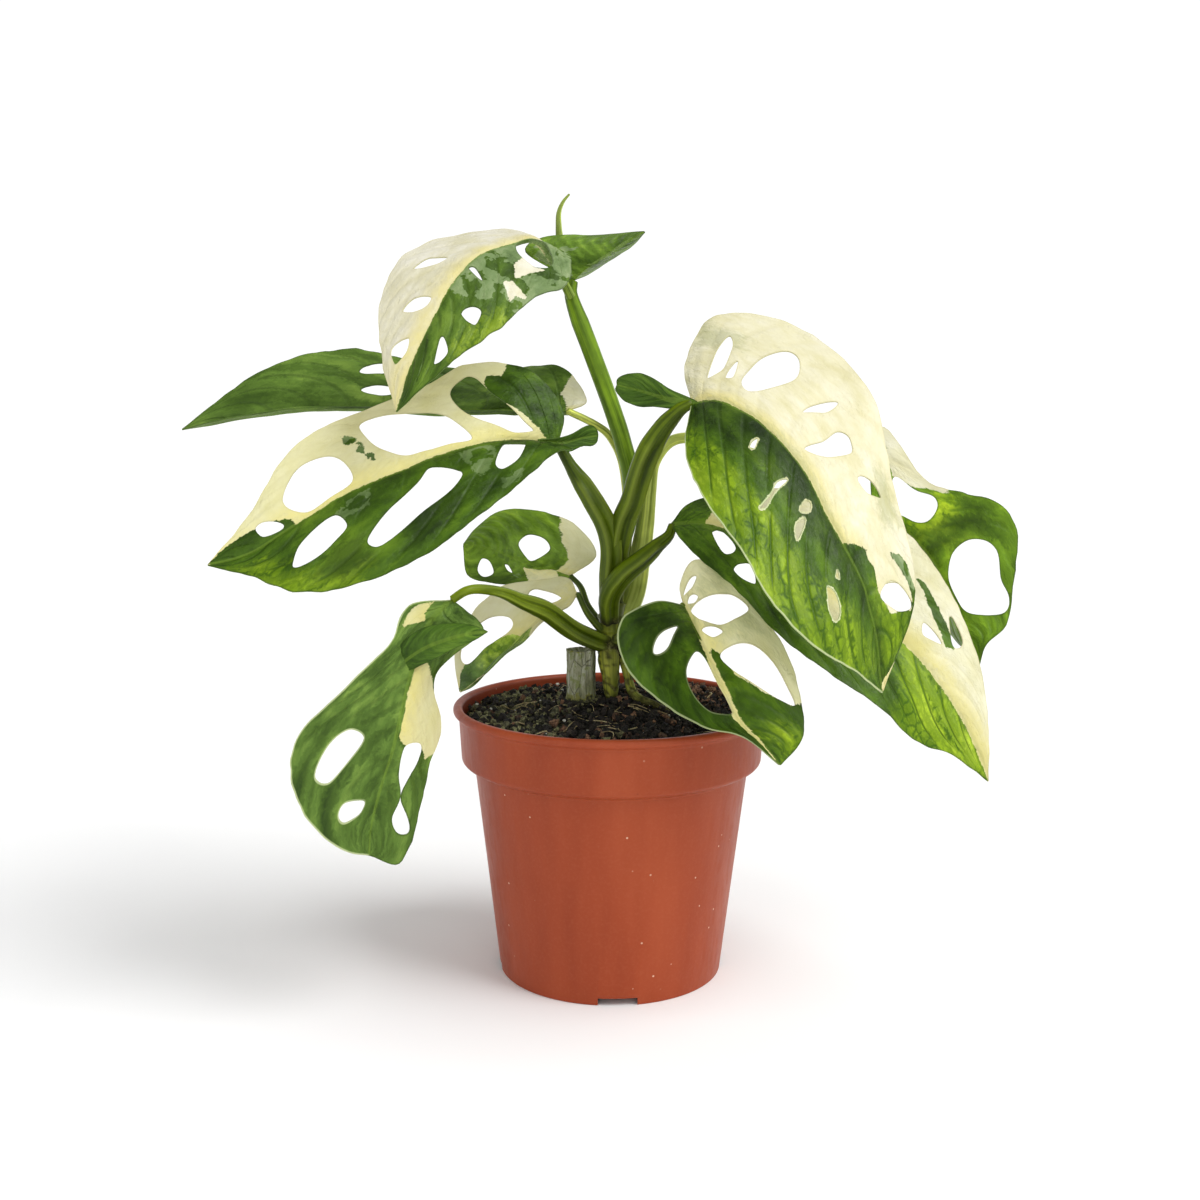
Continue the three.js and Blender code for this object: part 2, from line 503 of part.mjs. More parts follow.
// Lays the flat sheet on the blade's surface: its two faces go half a thickness to either side.
function bendOnto(surface, sheet) {
  const { vertProperties, triVerts } = sheet.getMesh();
  const bent = new Float32Array(vertProperties.length);
  for (let i = 0; i < vertProperties.length; i += 3) {
    const [x, y, z] = vertProperties.slice(i, i + 3);
    const [along, across] = [x / FLAT.x, y / FLAT.y];
    const { normal } = bladeSlopes(surface, along, across);
    const lift = ((z - dishHeight(x, y)) * BLADE_THICKNESS) / 2;
    bent.set(surface(along, across).addScaledVector(normal, lift).toArray(), i);
  }
  return new wasm.Manifold(new wasm.Mesh({ numProp: 3, vertProperties: bent, triVerts }));
}

function bladeSolid(outline, holes, facets) {
  const surface = bladeSurface(outline);
  const length = curveThrough(outline.midrib).getLength();
  let sheet = flatSheet(BLADE_START / length, 1 - BLADE_END / length, facets);
  for (const hole of holes) sheet = sheet.subtract(flatPunch(hole));
  return bendOnto(surface, sheet);
}

function leafSolid(leaf) {
  const blade = bladeSolid(leaf, leaf.holes, BLADE_FACETS);
  return leaf.lobe ? blade.add(bladeSolid(leaf.lobe, [], LOBE_FACETS)) : blade;
}

// ------------------------------------------------------------------ pot and soil

const COLLAR_FOOT = POT_HEIGHT - COLLAR_HEIGHT;
const FLOOR_TOP = FOOT_HEIGHT + WALL;

// Inside radius of the pot wall at a height, below the collar.
function boreRadius(height) {
  const share = height / (COLLAR_FOOT - LEDGE_DROP);
  return THREE.MathUtils.lerp(BASE_RADIUS, BODY_TOP_RADIUS, share) - WALL;
}

// A solid turned round the z axis, from its profile of [radius, height] points.
function turned(profile) {
  const points = profile.map(([radius, height]) => new THREE.Vector2(radius, height));
  return toSolid(new THREE.LatheGeometry(points, ROUND_SIDES).rotateX(Math.PI / 2));
}

function potSolid() {
  const beadFoot = POT_HEIGHT - BEAD_HEIGHT;
  const rimBore = COLLAR_TOP_RADIUS - WALL;
  const underside = [
    [0, 0], [CENTRE_DISC_RADIUS, 0], [CENTRE_DISC_RADIUS + DISC_SLOPE, FOOT_HEIGHT],
    [BASE_RADIUS - FOOT_WIDTH, FOOT_HEIGHT], [BASE_RADIUS - FOOT_WIDTH, 0], [BASE_RADIUS, 0],
  ];
  const outside = [
    [BODY_TOP_RADIUS, COLLAR_FOOT - LEDGE_DROP], [COLLAR_FOOT_RADIUS - COLLAR_CHAMFER, COLLAR_FOOT],
    [COLLAR_FOOT_RADIUS, COLLAR_FOOT + COLLAR_CHAMFER], [COLLAR_TOP_RADIUS, beadFoot - BEAD_CHAMFER],
    [RIM_RADIUS, beadFoot], [RIM_RADIUS, POT_HEIGHT - BEAD_CHAMFER],
    [RIM_RADIUS - BEAD_CHAMFER, POT_HEIGHT],
  ];
  const inside = [
    [rimBore + BEAD_CHAMFER, POT_HEIGHT], [rimBore, POT_HEIGHT - BEAD_CHAMFER],
    [COLLAR_FOOT_RADIUS - WALL, COLLAR_FOOT + LEDGE_RISE], [boreRadius(COLLAR_FOOT), COLLAR_FOOT],
    [boreRadius(FLOOR_TOP), FLOOR_TOP], [CENTRE_DISC_RADIUS + DISC_SLOPE, FLOOR_TOP],
    [CENTRE_DISC_RADIUS, WALL], [0, WALL],
  ];
  let pot = turned([...underside, ...outside, ...inside]);
  for (let i = 0; i < NOTCH_COUNT; i += 1) {
    const turn = NOTCH_TURN + (2 * Math.PI * i) / NOTCH_COUNT;
    const notch = new THREE.BoxGeometry(NOTCH_WIDTH, 3 * FOOT_WIDTH, 2 * NOTCH_HEIGHT);
    pot = pot.subtract(toSolid(notch.translate(0, -BASE_RADIUS, 0).rotateZ(turn)));
  }
  for (let i = 0; i < DRAIN_COUNT; i += 1) {
    const turn = (2 * Math.PI * (i + 0.5)) / DRAIN_COUNT;
    const drain = new THREE.CylinderGeometry(DRAIN_RADIUS, DRAIN_RADIUS, 4 * WALL, DRAIN_SIDES);
    drain.rotateX(Math.PI / 2).translate(0, -DRAIN_CIRCLE, FLOOR_TOP).rotateZ(turn);
    pot = pot.subtract(toSolid(drain));
  }
  return pot;
}

// The root ball fills the pot and is heaped a little around the stem.
function soilSolid() {
  const bottom = FLOOR_TOP + GAP;
  const collarBore = COLLAR_FOOT_RADIUS - WALL - GAP;
  return turned([
    [0, bottom], [boreRadius(bottom) - GAP, bottom], [boreRadius(COLLAR_FOOT) - GAP, COLLAR_FOOT],
    [collarBore, COLLAR_FOOT + LEDGE_RISE + GAP], [collarBore, SOIL_EDGE],
    [SOIL_SHOULDER_RADIUS, SOIL_SHOULDER], [SOIL_CROWN_RADIUS, SOIL_CROWN], [0, SOIL_CROWN],
  ]);
}

// ------------------------------------------------------------------ assembly

const plant = new THREE.Group();

function place(name, solid, finish) {
  const mesh = new THREE.Mesh(toGeometry(solid), makeMaterial[finish]());
  mesh.name = name;
  plant.add(mesh);
}

// A piece is cut clear of the swollen stalks round it.
const swollenStalks = [];
const cutClear = (solid) => largestBody(
  swollenStalks.reduce((rest, neighbour) => rest.subtract(neighbour), solid));

place('pot', potSolid(), 'pot');
place('soil', soilSolid(), 'soil');

for (const [name, stalk] of Object.entries(STALKS)) {
  place(name, cutClear(stalkSolid(stalk)), OLD_WOOD.includes(name) ? 'old_stem' : 'stalk');
  swollenStalks.push(stalkSolid(stalk, GAP));
}

for (const [name, leaf] of Object.entries(LEAVES)) {
  place(name, cutClear(leafSolid(leaf)), MOSTLY_PALE.includes(name) ? 'pale_leaf' : 'leaf');
}

export default plant;
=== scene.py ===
import itertools
import math

import bpy
import numpy as np
from mathutils import Matrix, Vector, noise
from mathutils.geometry import delaunay_2d_cdt


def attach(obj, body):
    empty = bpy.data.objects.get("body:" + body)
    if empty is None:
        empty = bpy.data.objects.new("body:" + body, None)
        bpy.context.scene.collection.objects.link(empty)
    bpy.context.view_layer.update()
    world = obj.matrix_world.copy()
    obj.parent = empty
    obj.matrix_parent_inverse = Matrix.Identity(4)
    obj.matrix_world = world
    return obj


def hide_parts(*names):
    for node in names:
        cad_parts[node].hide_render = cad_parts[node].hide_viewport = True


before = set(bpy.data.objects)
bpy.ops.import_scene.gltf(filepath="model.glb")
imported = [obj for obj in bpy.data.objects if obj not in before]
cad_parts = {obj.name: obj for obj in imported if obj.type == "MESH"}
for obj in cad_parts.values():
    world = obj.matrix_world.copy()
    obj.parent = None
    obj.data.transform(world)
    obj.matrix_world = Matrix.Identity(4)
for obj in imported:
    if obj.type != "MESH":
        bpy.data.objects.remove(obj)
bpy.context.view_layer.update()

MM = 0.001
rng = np.random.default_rng(7)

# ---------------------------------------------------------------- small helpers


def rgb(code):
    """The linear colour of an sRGB hex code, as a shader takes it."""
    parts = [int(code[i:i + 2], 16) / 255 for i in (0, 2, 4)]
    linear = [c / 12.92 if c <= 0.04045 else ((c + 0.055) / 1.055) ** 2.4 for c in parts]
    return (*linear, 1)


def smoothstep(x, low, high):
    t = np.clip((np.asarray(x, float) - low) / (high - low), 0, 1)
    return t * t * (3 - 2 * t)


def hill(x, middle, width):
    """A bell curve that is 1 at the middle."""
    return np.exp(-((x - middle) / width) ** 2)


def spline(points, t):
    """A uniform Catmull-Rom curve through the points, at the shares t of its spans."""
    p = np.asarray(points, float)
    p = np.vstack([2 * p[0] - p[1], p, 2 * p[-1] - p[-2]])
    spans = len(p) - 3
    s = np.clip(np.asarray(t, float), 0, 1) * spans
    i = np.minimum(s.astype(int), spans - 1)
    f = (s - i)[..., None]
    a, b, c, d = p[i], p[i + 1], p[i + 2], p[i + 3]
    bend = 2 * a - 5 * b + 4 * c - d
    twist = 3 * b - a - 3 * c + d
    return 0.5 * (2 * b + (c - a) * f + bend * f**2 + twist * f**3)


def closed_spline(points, per_span):
    """A smooth closed curve through the points, with so many points in each span."""
    p = np.asarray(points, float)
    count = len(p)
    t = (2 + np.arange(count * per_span) / per_span) / (count + 3)
    return spline(np.vstack([p[-2:], p, p[:2]]), t)


def spaced(points, step):
    """Points evenly spaced along the curve, about a step apart, and its length."""
    fine = spline(points, np.linspace(0, 1, 400))
    run = np.concatenate([[0], np.cumsum(np.linalg.norm(np.diff(fine, axis=0), axis=1))])
    count = max(3, int(round(run[-1] / step)) + 1)
    at = np.linspace(0, run[-1], count)
    return np.stack([np.interp(at, run, fine[:, k]) for k in range(3)], axis=1), run[-1]


def unit(v):
    v = np.asarray(v, float)
    return v / np.maximum(np.linalg.norm(v, axis=-1, keepdims=True), 1e-12)


def wobble(points, scale, seed=0.0):
    """Smooth noise between about -1 and 1 at each point, with features about scale across."""
    shift = Vector((seed, 3.1 * seed, -seed))
    return np.array([noise.noise(Vector(p) / scale + shift) for p in points])


def circle(radius, z, around):
    angles = 2 * np.pi * np.arange(around) / around
    level = np.full(around, float(z))
    return np.stack([radius * np.cos(angles), radius * np.sin(angles), level], axis=1)


def neighbours(around):
    """The number of each point in a ring, with the next one's."""
    return [(i, (i + 1) % around) for i in range(around)]


def bands(count, around, first=0, turned=False):
    """Quads between each two neighbours of so many rings of points, numbered one after another from
    first. Turned quads face the other way."""
    quads = []
    for low in range(first, first + (count - 1) * around, around):
        for i, j in neighbours(around):
            a, b, c, d = low + i, low + j, low + around + j, low + around + i
            quads.append((a, d, c, b) if turned else (a, b, c, d))
    return quads


def uneven(points, scale, seed, height):
    """Points moved out from their middle or in, by up to height, with bumps about scale across."""
    out = unit(points - points.mean(axis=0))
    return points + out * (wobble(points, scale, seed) * height)[:, None]


def each(given, count):
    """A number or a triple, repeated for so many points."""
    return np.tile(given, (count, 1)) if np.ndim(given) else np.full(count, float(given))


def merged(parts):
    """Several (points, faces, values) as one."""
    verts, faces, values = [], [], {}
    offset = 0
    for v, f, a in parts:
        verts.append(v)
        faces.extend([[i + offset for i in face] for face in f])
        offset += len(v)
        for key, data in a.items():
            values.setdefault(key, []).append(data)
    return np.vstack(verts), faces, {key: np.concatenate(data) for key, data in values.items()}


def set_values(mesh, values):
    """Store numbers or triples, one for each point of a mesh, as named attributes."""
    for key, data in values.items():
        data = np.asarray(data, np.float32)
        kind, slot = ("FLOAT", "value") if data.ndim == 1 else ("FLOAT_VECTOR", "vector")
        mesh.attributes.new(key, kind, "POINT").data.foreach_set(slot, data.ravel())


def shade_smooth(mesh, sharp):
    """Smooth shading, apart from edges sharper than so many degrees."""
    mesh.polygons.foreach_set("use_smooth", [True] * len(mesh.polygons))
    mesh.set_sharp_from_angle(angle=math.radians(sharp))


def make_object(name, verts, faces, values=None, sharp=None):
    """A mesh object from points in millimetres. It is shaded flat where sharp is None."""
    mesh = bpy.data.meshes.new(name)
    mesh.from_pydata((np.asarray(verts) * MM).tolist(), [], [list(map(int, f)) for f in faces])
    mesh.update()
    set_values(mesh, values or {})
    if sharp is not None:
        shade_smooth(mesh, sharp)
    thing = bpy.data.objects.new(name, mesh)
    bpy.context.scene.collection.objects.link(thing)
    return thing


def finish_piece(thing, material, slot, *nodes):
    thing.data.materials.clear()
    thing.data.materials.append(material)
    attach(thing, "root")
    if nodes:
        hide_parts(*nodes)


# ---------------------------------------------------------------- shader helpers


class Value:
    """A node's output. A sum, difference or product of values adds a node."""

    def __init__(self, graph, socket):
        self.graph = graph
        self.socket = socket

    def __add__(self, other):
        return self.graph.math("ADD", self, other)

    def __sub__(self, other):
        return self.graph.math("SUBTRACT", self, other)

    def __rsub__(self, other):
        return self.graph.math("SUBTRACT", other, self)

    def __mul__(self, other):
        return self.graph.math("MULTIPLY", self, other)


class Graph:
    """The node tree of a material or a world. Each call adds a node and returns its output as a
    Value. What goes in is a Value, a number, a tuple or a hex colour."""

    def __init__(self, owner):
        owner.use_nodes = True
        self.tree = owner.node_tree

    def put(self, socket, given):
        if isinstance(given, Value):
            self.tree.links.new(given.socket, socket)
        else:
            socket.default_value = rgb(given) if isinstance(given, str) else given

    def node(self, kind, output, inputs=(), **settings):
        node = self.tree.nodes.new("ShaderNode" + kind)
        for key, setting in settings.items():
            setattr(node, key, setting)
        for key, given in dict(inputs).items():
            self.put(node.inputs[key], given)
        return Value(self, node.outputs[output])

    def value(self, name):
        return self.node("Attribute", "Fac", attribute_name=name)

    def vector(self, name):
        return self.node("Attribute", "Vector", attribute_name=name)

    def place(self):
        """The place on the object, in millimetres."""
        return self.scaled(self.node("TexCoord", "Object"), (1 / MM, 1 / MM, 1 / MM))

    def math(self, kind, *terms):
        return self.node("Math", 0, enumerate(terms), operation=kind)

    def scaled(self, vector, by):
        return self.node("VectorMath", 0, {0: vector, 1: by}, operation="MULTIPLY")

    def moved(self, vector, by):
        return self.node("VectorMath", 0, {0: vector, 1: by}, operation="ADD")

    def joined(self, x, y, z):
        return self.node("CombineXYZ", 0, enumerate((x, y, z)))

    def ease(self, x, low, high, start=0.0, end=1.0, kind="SMOOTHSTEP"):
        """From start, where x is low, to end, where x is high."""
        inputs = {"Value": x, "From Min": low, "From Max": high, "To Min": start, "To Max": end}
        return self.node("MapRange", "Result", inputs, interpolation_type=kind)

    def noise(self, vector, scale, detail=2.0, rough=0.5, output="Fac"):
        inputs = {"Vector": vector, "Scale": scale, "Detail": detail, "Roughness": rough}
        return self.node("TexNoise", output, inputs)

    def cells(self, vector, scale, feature="F1"):
        """Distance from the points of a cellular pattern, or from its cells' edges."""
        return self.node("TexVoronoi", "Distance", {"Vector": vector, "Scale": scale}, feature=feature)

    def cell_edges(self, vector, scale):
        return self.cells(vector, scale, "DISTANCE_TO_EDGE")

    def mix(self, share, a, b, how="MIX"):
        inputs = {0: share, 6: a, 7: b}
        return self.node("Mix", 2, inputs, data_type="RGBA", blend_type=how)

    def multiply(self, a, b):
        """The product of two colours."""
        return self.mix(1.0, a, b, "MULTIPLY")

    def ramp(self, share, stops):
        """A colour ramp with a colour for each position."""
        ramp = self.node("ValToRGB", 0, {0: share})
        marks = ramp.socket.node.color_ramp.elements
        while len(marks) < len(stops):
            marks.new(0.5)
        for mark, (position, colour) in zip(marks, stops.items()):
            mark.position = position
            mark.color = rgb(colour) if isinstance(colour, str) else colour
        return ramp

    def bump(self, height, distance, strength):
        """A bumpy normal, with heights in metres times distance."""
        return self.node("Bump", 0, {"Strength": strength, "Distance": distance, "Height": height})


class Material(Graph):
    """A new material with one Principled surface."""

    def __init__(self, name):
        self.material = bpy.data.materials.new(name)
        super().__init__(self.material)
        self.tree.nodes.clear()
        self.bsdf = self.tree.nodes.new("ShaderNodeBsdfPrincipled")
        out = self.tree.nodes.new("ShaderNodeOutputMaterial")
        self.tree.links.new(self.bsdf.outputs[0], out.inputs["Surface"])

    def surface(self, **inputs):
        """Set the surface's inputs, and give the material."""
        for key, given in inputs.items():
            self.put(self.bsdf.inputs[key.replace("_", " ")], given)
        return self.material


# ---------------------------------------------------------------- materials


def leaf_material():
    """Leaf tissue. The blade's attributes say where it is cream, grey-green, lime, or deep green with
    painted shade, how far the midrib, the next vein and the rim are, and which face is which."""
    g = Material("leaf_tissue")
    flat = g.vector("flat")
    names = ("seed", "dmid", "rim", "top", "vein", "gap")
    seed, dmid, rim, top, vein, gap = (g.value(name) for name in names)
    stray = g.moved(g.noise(flat, 0.2, 3, 0.6, "Color"), (-0.5, -0.5, -0.5))
    bent = g.moved(flat, g.scaled(stray, (6, 6, 6)))
    jag = (g.noise(bent, 0.42, 3, 0.62) - 0.5) * 7.0
    fine = (g.noise(bent, 1.7, 2, 0.6) - 0.5) * 2.2
    ragged = jag + fine

    def patch(name, reach, soft):
        """Where a patch is, with its edge ragged by a share of reach and blurred over soft mm."""
        return g.ease(g.value(name) + ragged * reach, -soft, soft)

    cream = patch("cream", 0.3, 0.14)
    islands = g.ease(g.noise(bent, 0.15, 2, 0.55), 0.43, 0.46)
    grey = patch("grey", 0.6, 0.3) * islands
    lime = patch("lime", 1.5, 3.4)
    # deep_and_shade patches: partly the leaf's own deep green, partly painted shade where the blade lies in
    # shadow
    deep_and_shade = patch("deep_and_shade", 1.5, 3.0)

    # soft lateral veins where vein is whole, and streaks and small cells drawn out along them
    off_vein = g.math("ABSOLUTE", vein - g.math("ROUND", vein))
    lateral = g.ease(off_vein * gap, 0.2, 1.7, 1.0, 0.0) * g.ease(rim, 0.5, 5.0)
    swayed = vein + jag * 0.16
    streak = g.noise(g.joined(swayed * 0.85, dmid * 0.11, seed), 1.0, 3, 0.6)
    comb = g.noise(g.joined(swayed * 2.4, dmid * 0.16, seed), 1.0, 2, 0.6)
    feather = g.cell_edges(g.joined(swayed * 1.1, dmid * 0.16, seed), 1.0)
    feather = g.ease(feather, 0.0, 0.26, 1.0, 0.0)
    net = g.cell_edges(g.moved(flat, g.scaled(stray, (3, 3, 3))), 0.26)
    net = g.ease(net, 0.0, 0.26, 1.0, 0.0) * g.ease(streak, 0.35, 0.6, 1.0, 0.35)
    broad = g.noise(flat, 0.06, 2, 0.5)

    depth = streak * 0.56 + comb * 0.18 + broad * 0.4
    green = g.ramp(depth, {0.38: "213808", 0.5: "344F10", 0.6: "45641A", 0.74: "628228"})
    limy = g.ramp(depth, {0.36: "42640A", 0.48: "628010", 0.6: "809E22", 0.74: "A2BC40"})
    lines = g.math("MAXIMUM", lateral * 0.9, feather * 0.5)
    lines = g.math("MAXIMUM", lines, net * 0.95)
    limy = g.mix(lines * 0.92, limy, "2C4E06")
    faint_lines = g.math("MAXIMUM", lateral, net * 0.6)
    green = g.mix(faint_lines * 0.32, green, "1C3204")
    tissue = g.mix(lime, green, limy)
    # the deep_and_shade patches darken the green, in part as painted shade
    tissue = g.mix(deep_and_shade * 0.75, tissue, g.multiply(green, (0.4, 0.42, 0.4, 1)))
    # tone multiplies the green: partly the leaf's own colour, partly painted light for how brightly it is
    # lit
    tissue = g.multiply(tissue, g.vector("tone"))
    greyish = g.ramp(depth, {0.4: "52683A", 0.52: "708654", 0.66: "8E9E70"})
    tissue = g.mix(grey * g.value("veil"), tissue, greyish)

    # cream tissue: yellower by the midrib and along the veins, with a few green flecks
    pale = g.ramp(g.noise(flat, 0.09, 3, 0.6), {0.3: "D0CCA4", 0.5: "DAD7B8", 0.7: "E0DEC8"})
    pale = g.mix(g.value("yellow"), pale, "C4BE74")
    warm = g.ease(dmid + jag * 0.8, 1.0, 12.0, 0.75, 0.0) * g.ease(streak, 0.3, 0.6, 0.5, 1.0)
    pale = g.mix(warm, pale, "D6CB78")
    pale = g.mix(lateral * 0.15, pale, "C2BA80")
    pale = g.mix(g.ease(comb, 0.55, 0.8, 0.0, 0.14), pale, "BAB384")
    # painted shade: the deep_and_shade patches darken the cream where it lies in shadow
    pale = g.mix(deep_and_shade * 0.45, pale, "8E9660")
    pale = g.mix(net * 0.12, pale, "B8B078")
    flecks = g.math("GREATER_THAN", g.noise(bent, 0.55, 2, 0.7), 0.79)
    pale = g.mix(flecks * 0.6, pale, "8A9E48")
    # pale multiplies the cream: partly the leaf's own colour, partly painted light for how brightly it is
    # lit
    pale = g.multiply(pale, g.vector("pale"))
    colour = g.mix(cream, tissue, pale)

    rib_width = g.value("ribwidth")
    rib = g.ease(dmid, rib_width, rib_width + 0.5, 1.0, 0.0)
    colour = g.mix(rib * 0.45, colour, g.mix(cream, "6E8A2C", "CFC98C"))
    rim_line = g.ease(rim, 0.12, 0.45, 0.5, 0.0)
    colour = g.mix(rim_line, colour, g.mix(cream, "2A3E0C", "BFB888"))
    pale_line = g.ease(rim, 0.25, 0.6, 0.85, 0.0) * g.value("palerim")
    colour = g.mix(pale_line, colour, "B9C490")

    # the underside is paler and duller
    veiled = g.mix(cream, (0.35, 0.35, 0.35, 1), (0.1, 0.1, 0.1, 1))
    colour = g.mix(top, g.mix(veiled, colour, "8AA262"), colour)

    height = lateral * (cream * 0.7 + -0.9) + feather * -0.35 + net * -0.25
    height = height + comb * 0.5 + g.noise(flat, 0.5, 3, 0.6) * 0.5
    rough = g.ease(g.noise(flat, 0.8, 2, 0.5), 0.3, 0.7, 0.36, 0.5) + (1.0 - top) * 0.2
    normal = g.bump(height, 0.00035, 0.8)
    return g.surface(Base_Color=colour, Roughness=rough, Normal=normal, IOR=1.42, Specular_IOR_Level=0.2)


def stalk_material():
    """Green stalk in its own tint: soft lengthwise streaks, paler wings and small pale dots."""
    g = Material("stalk_skin")
    names = ("turn", "run", "groove", "old", "seed")
    turn, run, groove, old, seed = (g.value(name) for name in names)

    def grain_along(across, along, detail, rough):
        return g.noise(g.joined(turn * across, run * along, seed), 1.0, detail, rough)

    streaks = grain_along(5.0, 0.02, 2, 0.5)
    shade = grain_along(1.6, 0.07, 3, 0.6)
    lines = grain_along(16.0, 0.015, 1, 0.5)
    level = streaks * 0.45 + shade * 0.3 + lines * 0.25
    tone = g.ramp(level, {0.38: (0.38, 0.42, 0.2, 1), 0.5: (0.9, 0.9, 0.7, 1), 0.62: (1.7, 1.6, 1.0, 1)})
    colour = g.multiply(g.vector("tint"), tone)
    colour = g.mix(groove * 0.5, colour, "8C9C38")
    bark = g.noise(g.place(), 0.6, 4, 0.65)
    bark = g.ramp(bark, {0.35: "0E0B07", 0.5: "2C2618", 0.62: "5E5C36", 0.78: "8A8E60"})
    colour = g.mix(old, colour, bark)
    dots = g.ease(g.cells(g.place(), 0.6), 0.04, 0.1, 0.35, 0.0)
    colour = g.mix(dots, colour, "94A44C")
    grain = g.noise(g.place(), 1.1, 3, 0.6) * (old + 0.25)
    normal = g.bump(streaks + grain, 0.0003, 0.8)
    rough = old * 0.4 + 0.4
    return g.surface(Base_Color=colour, Roughness=rough, Normal=normal, Specular_IOR_Level=0.16)


def wood_material():
    """Old grey-green stump skin, ribbed lengthwise, mossy and dirty near the soil."""
    g = Material("old_wood")
    turn, run, dirt, seed = (g.value(name) for name in ("turn", "run", "dirt", "seed"))
    grain = g.noise(g.joined(turn * 8.0, run * 0.08, seed), 1.0, 4, 0.65)
    colour = g.ramp(grain, {0.3: "5C5E40", 0.45: "8C8E6E", 0.6: "B4B59E", 0.75: "D0D0C0"})
    stain = g.noise(g.place(), 0.35, 4, 0.65)
    colour = g.mix(g.ease(stain, 0.5, 0.62, 0.0, 0.7), colour, "78843E")
    cracks = g.cell_edges(g.joined(turn * 5.0, run * 0.1, 0.0), 1.0)
    cracks = g.ease(cracks, 0.0, 0.04, 0.6, 0.0)
    colour = g.mix(cracks, colour, "2B2A18")
    mossy = dirt + (stain - 0.5) * 1.4
    colour = g.mix(g.ease(mossy, 0.42, 0.6, 0.0, 0.9), colour, "7A7A34")
    colour = g.mix(g.ease(mossy, 0.62, 0.8, 0.0, 0.95), colour, "1A160C")
    height = grain + g.noise(g.place(), 1.0, 4, 0.7) - cracks
    return g.surface(Base_Color=colour, Roughness=0.82, Normal=g.bump(height, 0.0006, 0.9))


def pot_material():
    """Moulded terracotta-coloured plastic: faint flow bands, scuffs, pale dust and soil specks, with
    painted shade on its inner wall.
    """
    g = Material("pot_plastic")
    place = g.place()
    flow = g.noise(g.scaled(place, (1, 1, 0.12)), 0.06, 3, 0.55)
    colour = g.ramp(flow, {0.32: "8E3A1C", 0.5: "963F1F", 0.7: "9E4625"})
    mottle = g.noise(place, 0.9, 3, 0.6)
    colour = g.mix(g.ease(mottle, 0.45, 0.7, 0.0, 0.12), colour, "B06040")
    # painted shade: the inner wall is darkened as if it lay in shadow
    colour = g.mix(g.value("inner_shade") * 0.55, colour, "6E2E1C")
    dust = g.ease(g.cells(place, 0.16), 0.045, 0.075, 1.0, 0.0)
    dust = dust * g.ease(g.noise(place, 0.05), 0.47, 0.6)
    colour = g.mix(dust * 0.75, colour, "E2BFA4")
    dirt = g.ease(g.cells(g.moved(place, (31, 17, 5)), 0.12), 0.03, 0.055, 1.0, 0.0)
    dirt = dirt * g.ease(g.noise(place, 0.04), 0.5, 0.62)
    colour = g.mix(dirt * 0.7, colour, "4A2416")
    scuff = g.noise(g.scaled(place, (1, 1, 0.25)), 0.35, 4, 0.7)
    rough = g.ease(scuff, 0.3, 0.75, 0.36, 0.52)
    normal = g.bump(g.noise(place, 2.2, 3, 0.6) * 0.4 + scuff * 0.35, 0.00008, 0.6)
    return g.surface(Base_Color=colour, Roughness=rough, Normal=normal, Specular_IOR_Level=0.22)


def soil_material():
    """Dark moist peat, with moss at one side."""
    g = Material("potting_soil")
    place = g.place()
    grain = g.noise(place, 0.55, 5, 0.7)
    colour = g.ramp(grain, {0.3: "050404", 0.5: "110E0B", 0.62: "221B15", 0.78: "44382A"})
    moss = g.value("moss") * g.ease(g.noise(place, 0.28, 4, 0.65), 0.46, 0.6)
    mossy = g.ramp(g.noise(place, 1.2, 3), {0.35: "2C2E14", 0.6: "5C5A30"})
    colour = g.mix(moss * 0.75, colour, mossy)
    wet = g.ease(g.noise(place, 0.4, 3), 0.4, 0.65, 0.62, 0.95)
    normal = g.bump(grain + g.noise(place, 2.0, 3, 0.7) * 0.6, 0.0008, 1.0)
    return g.surface(Base_Color=colour, Roughness=wet, Normal=normal, Specular_IOR_Level=0.3)


def crumb_material():
    """Loose crumbs of peat, bark and moss, with pale perlite among them. The whole part of a crumb's
    kind is its sort, and the rest is its lightness."""
    g = Material("soil_crumbs")
    kind = g.value("kind")
    place = g.place()
    grain = g.noise(place, 1.4, 4, 0.7)
    dark = g.ramp(grain, {0.3: "080605", 0.55: "211A14", 0.75: "4C3E2E"})
    bark = g.ramp(grain, {0.3: "38271B", 0.55: "72533D", 0.75: "A48062"})
    mossy = g.ramp(grain, {0.3: "2C2D1C", 0.55: "6E6C48", 0.75: "B6B28A"})
    white = g.ramp(grain, {0.3: "A8A69C", 0.6: "E4E2DA"})
    shade = g.ease(g.math("FRACT", kind), 0.0, 0.4, 0.25, 1.35)
    colour = g.mix(g.math("GREATER_THAN", kind, 0.5), dark, bark)
    colour = g.mix(g.math("GREATER_THAN", kind, 1.5), colour, mossy)
    colour = g.multiply(colour, g.joined(shade, shade, shade))
    colour = g.mix(g.math("GREATER_THAN", kind, 2.5), colour, white)
    normal = g.bump(g.noise(place, 2.6, 3, 0.7), 0.0004, 0.9)
    return g.surface(Base_Color=colour, Roughness=0.88, Normal=normal)


def thread_material():
    """Thin roots lying on the soil."""
    g = Material("root_threads")
    place = g.place()
    colour = g.ramp(g.noise(place, 0.3, 3, 0.6), {0.3: "5A4C34", 0.5: "9A8A62", 0.7: "C8BC94"})
    return g.surface(Base_Color=colour, Roughness=0.8, Normal=g.bump(g.noise(place, 1.5, 3), 0.0002, 0.8))


def floor_material():
    return Material("studio_floor").surface(Base_Color=(0.96, 0.96, 0.96, 1), Roughness=1.0)


# ---------------------------------------------------------------- leaves

# Blades in millimetres, the same curves as the part's: the midrib runs from the petiole to the tip,
# and the two margins list the points between. Holes and patches are placed in percent of the blade:
# 0 to 100 from base to tip, and 0 to 100 (or -100) from midrib to upper (or lower) margin.

# A patch over the upper half. Patches reach past the margin, so that none ends short of it.
UPPER_HALF = [(0, 0), (100, 0), (100, 120), (0, 120)]

